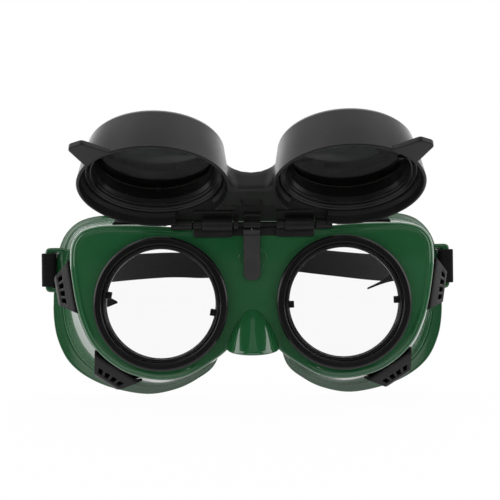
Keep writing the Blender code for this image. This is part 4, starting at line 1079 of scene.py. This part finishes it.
# The second strip on each side sits behind the outer knuckle to keep light out of the gap there: a
# black blocker that stands in for shade, painted shade.
FEET_AND_SHADE_STRIPS = {
    "left": [((-8.8, -34.62, 28.7), (-0.2, -33.9, 33.3)),
             ((-34.6, -34.62, 31.6), (-24.3, -34.0, 33.5))],
    "right": [((0.2, -34.62, 28.7), (11.2, -33.9, 33.3)),
              ((26.0, -34.62, 31.6), (34.6, -34.0, 33.5))]}
PLATE_TOP, PLATE_FOOT = 33.6, 28.1
for name, (small, barrel) in BRACKETS.items():
    outline = soften([(small[0], PLATE_TOP), (barrel[1], PLATE_TOP), (barrel[1], PLATE_FOOT),
                      (small[0], PLATE_FOOT)], 1.0, 4, 0.2)
    ride_piece(f"bracket_{name}", [
        slab(outline, PLATE_FRONT, PLATE_BACK, 0.3), tube(3.0, barrel, 0.4, 48, HINGE_LINE),
        tube(2.1, small, 0.3, 40, HINGE_LINE),
        rounded_box((small[0], -36.4, 31.6), (small[1], -34.9, 33.4), 0.3),
        *[rounded_box(*base, 0.2) for base in FEET_AND_SHADE_STRIPS[name]]], cup_black, [f"hinge_bracket_{name}"])

# %% Tongue
TONGUE_HALF, TONGUE_TOP, TONGUE_END, TIP_ROUND, LEAF = 3.55, 31.3, 9.7, 2.6, (-35.9, -34.5)
BEND_AT, BEND_REACH, BEND_RISE = 20.7, 11.0, 0.45
RIVET, RIVET_AT = [(0.02, 0.9), (1.4, 0.9), (2.1, 0.25), (2.1, 0.0), (0.02, 0.0)], (0.0, -31.7, 19.2)


def tongue_bend(points):
    """The leaf stands forward along its bend line and falls back evenly towards both ends."""
    points = points.copy()
    points[:, 1] -= BEND_RISE * np.clip(1 - np.abs(points[:, 2] - BEND_AT) / BEND_REACH, 0.0, 1.0)
    return points


def tongue_leaf():
    """A thin plate with round lower corners, cut into rows so that it can bend."""
    low = TONGUE_END + TIP_ROUND
    a = np.linspace(0, math.pi / 2, 9)[1:]
    straight = np.linspace(TONGUE_TOP - 0.4, low, 26)
    z_rows = np.concatenate([[TONGUE_TOP], straight, low - TIP_ROUND * np.sin(a)])
    wide = TONGUE_HALF - np.concatenate([np.zeros(27), TIP_ROUND * (1 - np.cos(a))])
    front, back = LEAF
    sections = np.stack([soften([(-w, front), (w, front), (w, back), (-w, back)], 0.3) for w in wide])
    return grid(xyz(sections[..., 0], sections[..., 1], z_rows[:, None]), "capped")


ride_piece("spring_tongue", [
    moved(tongue_leaf(), tongue_bend),
    rounded_box((-TONGUE_HALF, -38.7, 29.3), (TONGUE_HALF, -34.6, TONGUE_TOP), 0.35),
    turned(RIVET, RIVET_AT, 40, 0.1),
    ], tongue_black, ["detent_tongue"], sharp=30)

# %% [markdown]
# ## Vent caps
# Six louvred hoods on the walls. Each is worked out in its own frame on the wall - along the rim,
# back towards the face, and out - as a wedge with four windows in the slope that rises to its crest.
# The hood is one open sheet with cells left out, so that Solidify gives the windows their walls.
# %% Place of a vent
VENT_PLACES, VENT_SHIFT = {"top": 0.112, "side": 0.3833, "lower": 0.595}, 0.2


def vent_frame(side, share):
    """Origin and three directions of a vent on the wall, from the outline at a share of its half."""
    at = share * SPANS * PER_SPAN
    low, part = int(at), at - int(at)
    tables = [np.roll(stations, shift, axis=0) for shift in (0, -3, 3)]
    here, after, before = (rows[low] * (1 - part) + rows[low + 1] * part for rows in tables)
    start = np.array([here[0], wall_from, here[1]])
    stop = np.array([here[2], here[6] - WALL_FOOT, here[3]])
    step = after - before
    back, along = stop - start, np.array([step[0], 0.0, step[1]])
    back, along = back / np.linalg.norm(back), along / np.linalg.norm(along)
    out = np.cross(back, along)
    out *= np.sign(out @ (start[0], 0.0, start[2])) / np.linalg.norm(out)
    sign = (side, 1, 1)
    return (start + back * VENT_SHIFT) * sign, np.array([np.cross(back, out), back, out]) * sign


print("vents at", [vent_frame(1, share)[0].round(1).tolist() for share in VENT_PLACES.values()])

# %% Hood with windows
HOOD_ROWS = [
    (0.0, 12.2, 11.1, 0.9), (0.5, 12.1, 10.8, 1.3), (5.5, 11.2, 8.8, 3.4), (10.4, 10.35, 6.9, 5.35),
    (11.0, 10.2, 6.6, 5.6), (11.6, 10.1, 6.5, 5.65), (13.2, 9.3, 6.1, 5.65), (14.8, 8.5, 5.6, 5.6),
    (15.4, 8.2, 5.4, 5.5), (16.3, 8.2, 5.4, 4.9), (17.0, 8.2, 5.4, 4.2)]
WINDOW_PITCH, WINDOW_ROWS = 2.7, (5.6, 9.2)
WINDOW_HALF, CREST_HALF = 0.85, 6.6


def hood():
    """A sheet over the wedge: rows run back, columns run up one side, across the crest and down the
    other. The cells of the windows are left out, and the last row is closed by one face."""
    centres = (np.arange(4) - 1.5) * WINDOW_PITCH
    edges = np.sort(np.concatenate([centres - WINDOW_HALF, centres + WINDOW_HALF]))
    top = np.concatenate([[-1.0], edges / CREST_HALF, [1.0]])
    sides = np.linspace(0.0, 1.0, 5)[:-1]
    v = np.concatenate([
        np.linspace(0, 10.4, 12), [11.0, 11.6, 12.4, 13.2, 14.0, 14.8, 15.4, 16.3, 17.0]])
    place, *sizes = np.array(HOOD_ROWS).T
    base, crest, height = (np.interp(v, place, size)[:, None] for size in sizes)
    side_x, side_z = (crest - base) * sides + base, (height + 1.0) * sides - 1.0
    points = xyz(np.hstack([-side_x, crest * top, side_x[:, ::-1]]), v[:, None],
                 np.hstack([side_z, height + 0 * top, side_z[:, ::-1]]))
    index = np.arange(points.size // 3).reshape(points.shape[:2])
    cell = np.arange(index.shape[1] - 1) - len(sides)
    across = (cell >= 0) & (cell < len(top) - 1) & (cell % 2 == 1)
    middle = (v[:-1] + v[1:]) / 2
    along = (WINDOW_ROWS[0] <= middle) & (middle <= WINDOW_ROWS[1])
    faces = quads(index)[~(along[:, None] & across)].tolist()
    return points.reshape(-1, 3), faces + [index[-1].tolist()]


def vent_cap(name, placed, way, node):
    """The hood in its place; its wall comes from Solidify and its edges from Bevel."""
    mesh = outward_mesh(moved(hood(), placed), 0.0015, way)
    obj = dressed(name, mesh, vent_black, [node], "mask", 25)
    wall = obj.modifiers.new("Wall", "SOLIDIFY")
    wall.thickness, wall.offset, wall.use_even_offset = 1.0 * MM, -1.0, True
    edge = obj.modifiers.new("Edges", "BEVEL")
    edge.width, edge.segments, edge.limit_method = 0.18 * MM, 2, "ANGLE"
    edge.angle_limit = math.radians(25)


print("faces of a hood's sheet", len(hood()[1]))

# %% Six vents
TRAY = [((-6.4, 1.6, 0.3), (6.4, 15.6, 1.6), 0.3), ((-5.6, 4.2, -3.3), (5.6, 10.6, 1.0), 0.6),
        ((-6.3, 3.5, -4.3), (6.3, 11.3, -3.3), 0.4)]
for side, name in SIDES:
    for place, share in VENT_PLACES.items():
        origin, axes = vent_frame(side, share)

        def placed(points):
            """From the vent's own frame to the leaning mask."""
            return skew(origin + points @ axes)

        vent_cap(f"vent_hood_{place}_{name}", placed, axes[2], f"vent_{place}_{name}")
        tray = [moved(rounded_box(*box), placed) for box in TRAY]
        ride_piece(f"vent_tray_{place}_{name}", tray, ring_black, sharp=38)

# %% [markdown]
# ## Strap and adjusters
# Flat elastic webbing, modelled directly: a rounded band carried along one line, from one loose tail
# through its adjuster, round the loop's bar, along the outside to the back of the head, and the same
# way to the other tail. The line lies where the CAD solid's does, but the tails hang lower, as the
# photograph shows them through the lenses. A curve with a flat bevel could do it too, but this gives
# a UV map that runs across and along the band, which the weave needs.
# %% The strap's line
STRAP_WIDTH, STRAP_THICK, STRAP_BACK, STRAP_HALF, STRAP_Z = 14.6, 1.2, 197.0, 90.0, 14.4
BAR_X, LOOP_EDGE, SLIDE_Y, STRAIGHT_END = 88.4, 92.0, 24.0, 58.0
NEAR, HALF_WAY, DROP_RUN = 12.0, 41.0, (70.0, 135.0)
LOW_EDGE_X = [-89, -60, -45, -27, 0, 30, 50, 69, 88]
LOW_EDGE_Z = [4.6, 6.0, 6.4, 5.2, 6.2, 8.6, 6.4, 4.4, 3.6]
TAIL_RIGHT = [(63.5, 84.0, 1.4, 0.5, 0.3), (70.0, 79.0, 4.6, 1.0, 0.3), (77.0, 73.5, 8.5, 3.0, 0.25),
              (85.2, 66.0, 12.6, 6.4, 0.1)]
TAIL_LEFT = [(-87.2, 64.0, 10.6, 7.2, 0.0), (-82.5, 70.5, 3.2, 6.8, -0.1),
             (-76.0, 77.0, -2.8, 4.0, -0.15), (-69.0, 82.0, -4.4, 0.5, -0.1)]


def strap_plan():
    """Middle line of the right half in plan: inner layer, turn round the loop's bar, outer layer, and
    a quarter of an ellipse to the back of the head."""
    out = STRAP_THICK / 2 + 0.3
    x_in, x_out, front = BAR_X - out, LOOP_EDGE + out, LOOP_DEPTH[0] - out
    low, high = STRAP_HALF - STRAP_THICK, STRAP_HALF + STRAP_THICK
    inner = [(low, STRAIGHT_END), (low, STRAIGHT_END - 2.0), (low, HALF_WAY), (low, SLIDE_Y),
             ((low + x_in) / 2, NEAR)]
    bend = np.array([(0.0, 0.0), (0.0, front + out), (out / 2, front + out / 4), (out * 1.5, front)])
    turn_round = np.vstack([(x_in, 0) + bend, ((x_out, 0) - bend * (1, -1))[::-1]])
    outer = [((high + x_out) / 2, NEAR), (high, SLIDE_Y), (high, HALF_WAY), (high, STRAIGHT_END)]
    a = np.linspace(0.0, math.pi / 2, 15)[1:]
    back = np.column_stack([high * np.cos(a), STRAIGHT_END + (STRAP_BACK - STRAIGHT_END) * np.sin(a)])
    return np.vstack([inner, turn_round, outer, back])


def strap_sides():
    """Tail, both halves, tail: x, y, middle height, half width and lean of the band at each point."""
    half_plan = strap_plan()
    plan = np.vstack([half_plan, half_plan[-2::-1] * (-1, 1)])
    low = np.interp(plan[:, 0], LOW_EDGE_X, LOW_EDGE_Z)
    z = STRAP_Z + smoothstep(plan[:, 1], *DROP_RUN) * (low + STRAP_WIDTH / 2 - STRAP_Z)
    body = np.column_stack([plan, z, np.full(len(plan), STRAP_WIDTH / 2), np.zeros(len(plan))])
    return np.vstack([TAIL_RIGHT, body, TAIL_LEFT])


def strap_band():
    """A band with half-round edges carried along the line: points, their UV map and its length."""
    line = spline(strap_sides(), 6, closed=False)
    path, half, lean = line[:, :3], line[:, 3], line[:, 4]
    ahead = np.gradient(line[:, :2], axis=0)
    ahead /= np.linalg.norm(ahead, axis=1, keepdims=True)
    out = np.column_stack([-ahead[:, 1], ahead[:, 0], 0 * lean])
    up = np.column_stack([np.sin(lean), 0 * lean, np.cos(lean)])
    flat, edge = np.linspace(-1.0, 1.0, 13), np.linspace(-math.pi / 2, math.pi / 2, 5)[1:-1]
    round_edge = 1 + 0.04 * np.cos(edge)
    u = np.concatenate([flat, round_edge, flat[::-1], -round_edge])
    v = np.concatenate([-np.ones(13), np.sin(edge), np.ones(13), -np.sin(edge)])
    points = (path[:, None] + up[:, None] * (u[:, None] * half[:, None, None])
              + out[:, None] * (v[:, None] * STRAP_THICK / 2))
    run = np.concatenate([[0.0], np.cumsum(np.linalg.norm(np.diff(path, axis=0), axis=1))])
    uv = np.stack(np.broadcast_arrays(u * STRAP_WIDTH / 2, run[:, None]), axis=-1)
    return points, uv, run[-1]


print("points along the strap's line", len(strap_sides()))

# %% The strap
band, band_uv, band_length = strap_band()
strap_part = moved(grid(band, "capped"), skew)
strap = ride_piece("elastic_strap", [strap_part], webbing, ["head_strap"],
                   sharp=60, merge=0.0001)
corner = np.zeros(len(strap.data.loops), np.int32)
strap.data.loops.foreach_get("vertex_index", corner)
flat_uv = band_uv.reshape(-1, 2)[corner] * MM
strap.data.uv_layers.new(name="UVMap").data.foreach_set("uv", flat_uv.astype(np.float32).ravel())
print("strap length in mm", round(band_length, 1))

# %% Adjusters
SLIDE_FRONT, SLIDE_LENGTH = 28.0, 9.0
SLIDE_HALF, SLIDE_HIGH, BAR_INSIDE, SIDE_INSIDE = 3.4, 8.9, 7.8, 2.1
for side, name in SIDES:
    middle = np.array([side * STRAP_HALF, SLIDE_FRONT + SLIDE_LENGTH / 2, STRAP_Z])
    half = SLIDE_LENGTH / 2
    boxes = []
    for sign in (-1, 1):
        outside = (sign * SLIDE_HALF, half, SLIDE_HIGH)
        boxes += [((-SLIDE_HALF, -half, sign * BAR_INSIDE), (SLIDE_HALF, half, sign * SLIDE_HIGH), 0.5),
                  ((sign * SIDE_INSIDE, -half, -SLIDE_HIGH), outside, 0.5)]
    boxes.append(((-0.3, 2.5 - half, -7.9), (0.3, half - 2.5, 7.9), 0.2))
    for rib in (-2.4, 0.0, 2.4):
        boxes.append(((side * 3.2, rib - 0.4, -6.5), (side * 3.6, rib + 0.4, 6.5), 0.15))
    bars = [moved(rounded_box(*box), lambda p: skew(p + middle)) for box in boxes]
    ride_piece(f"strap_slide_{name}", bars, slide_black, [f"strap_adjuster_{name}"], f"adjuster_{name}",
               sharp=38)

# %% Size and finish
scene_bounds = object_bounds()
for label, box in (("CAD", cad_bounds), ("scene", scene_bounds)):
    print(label, [[round(c / MM, 2) for c in corner] for corner in box])
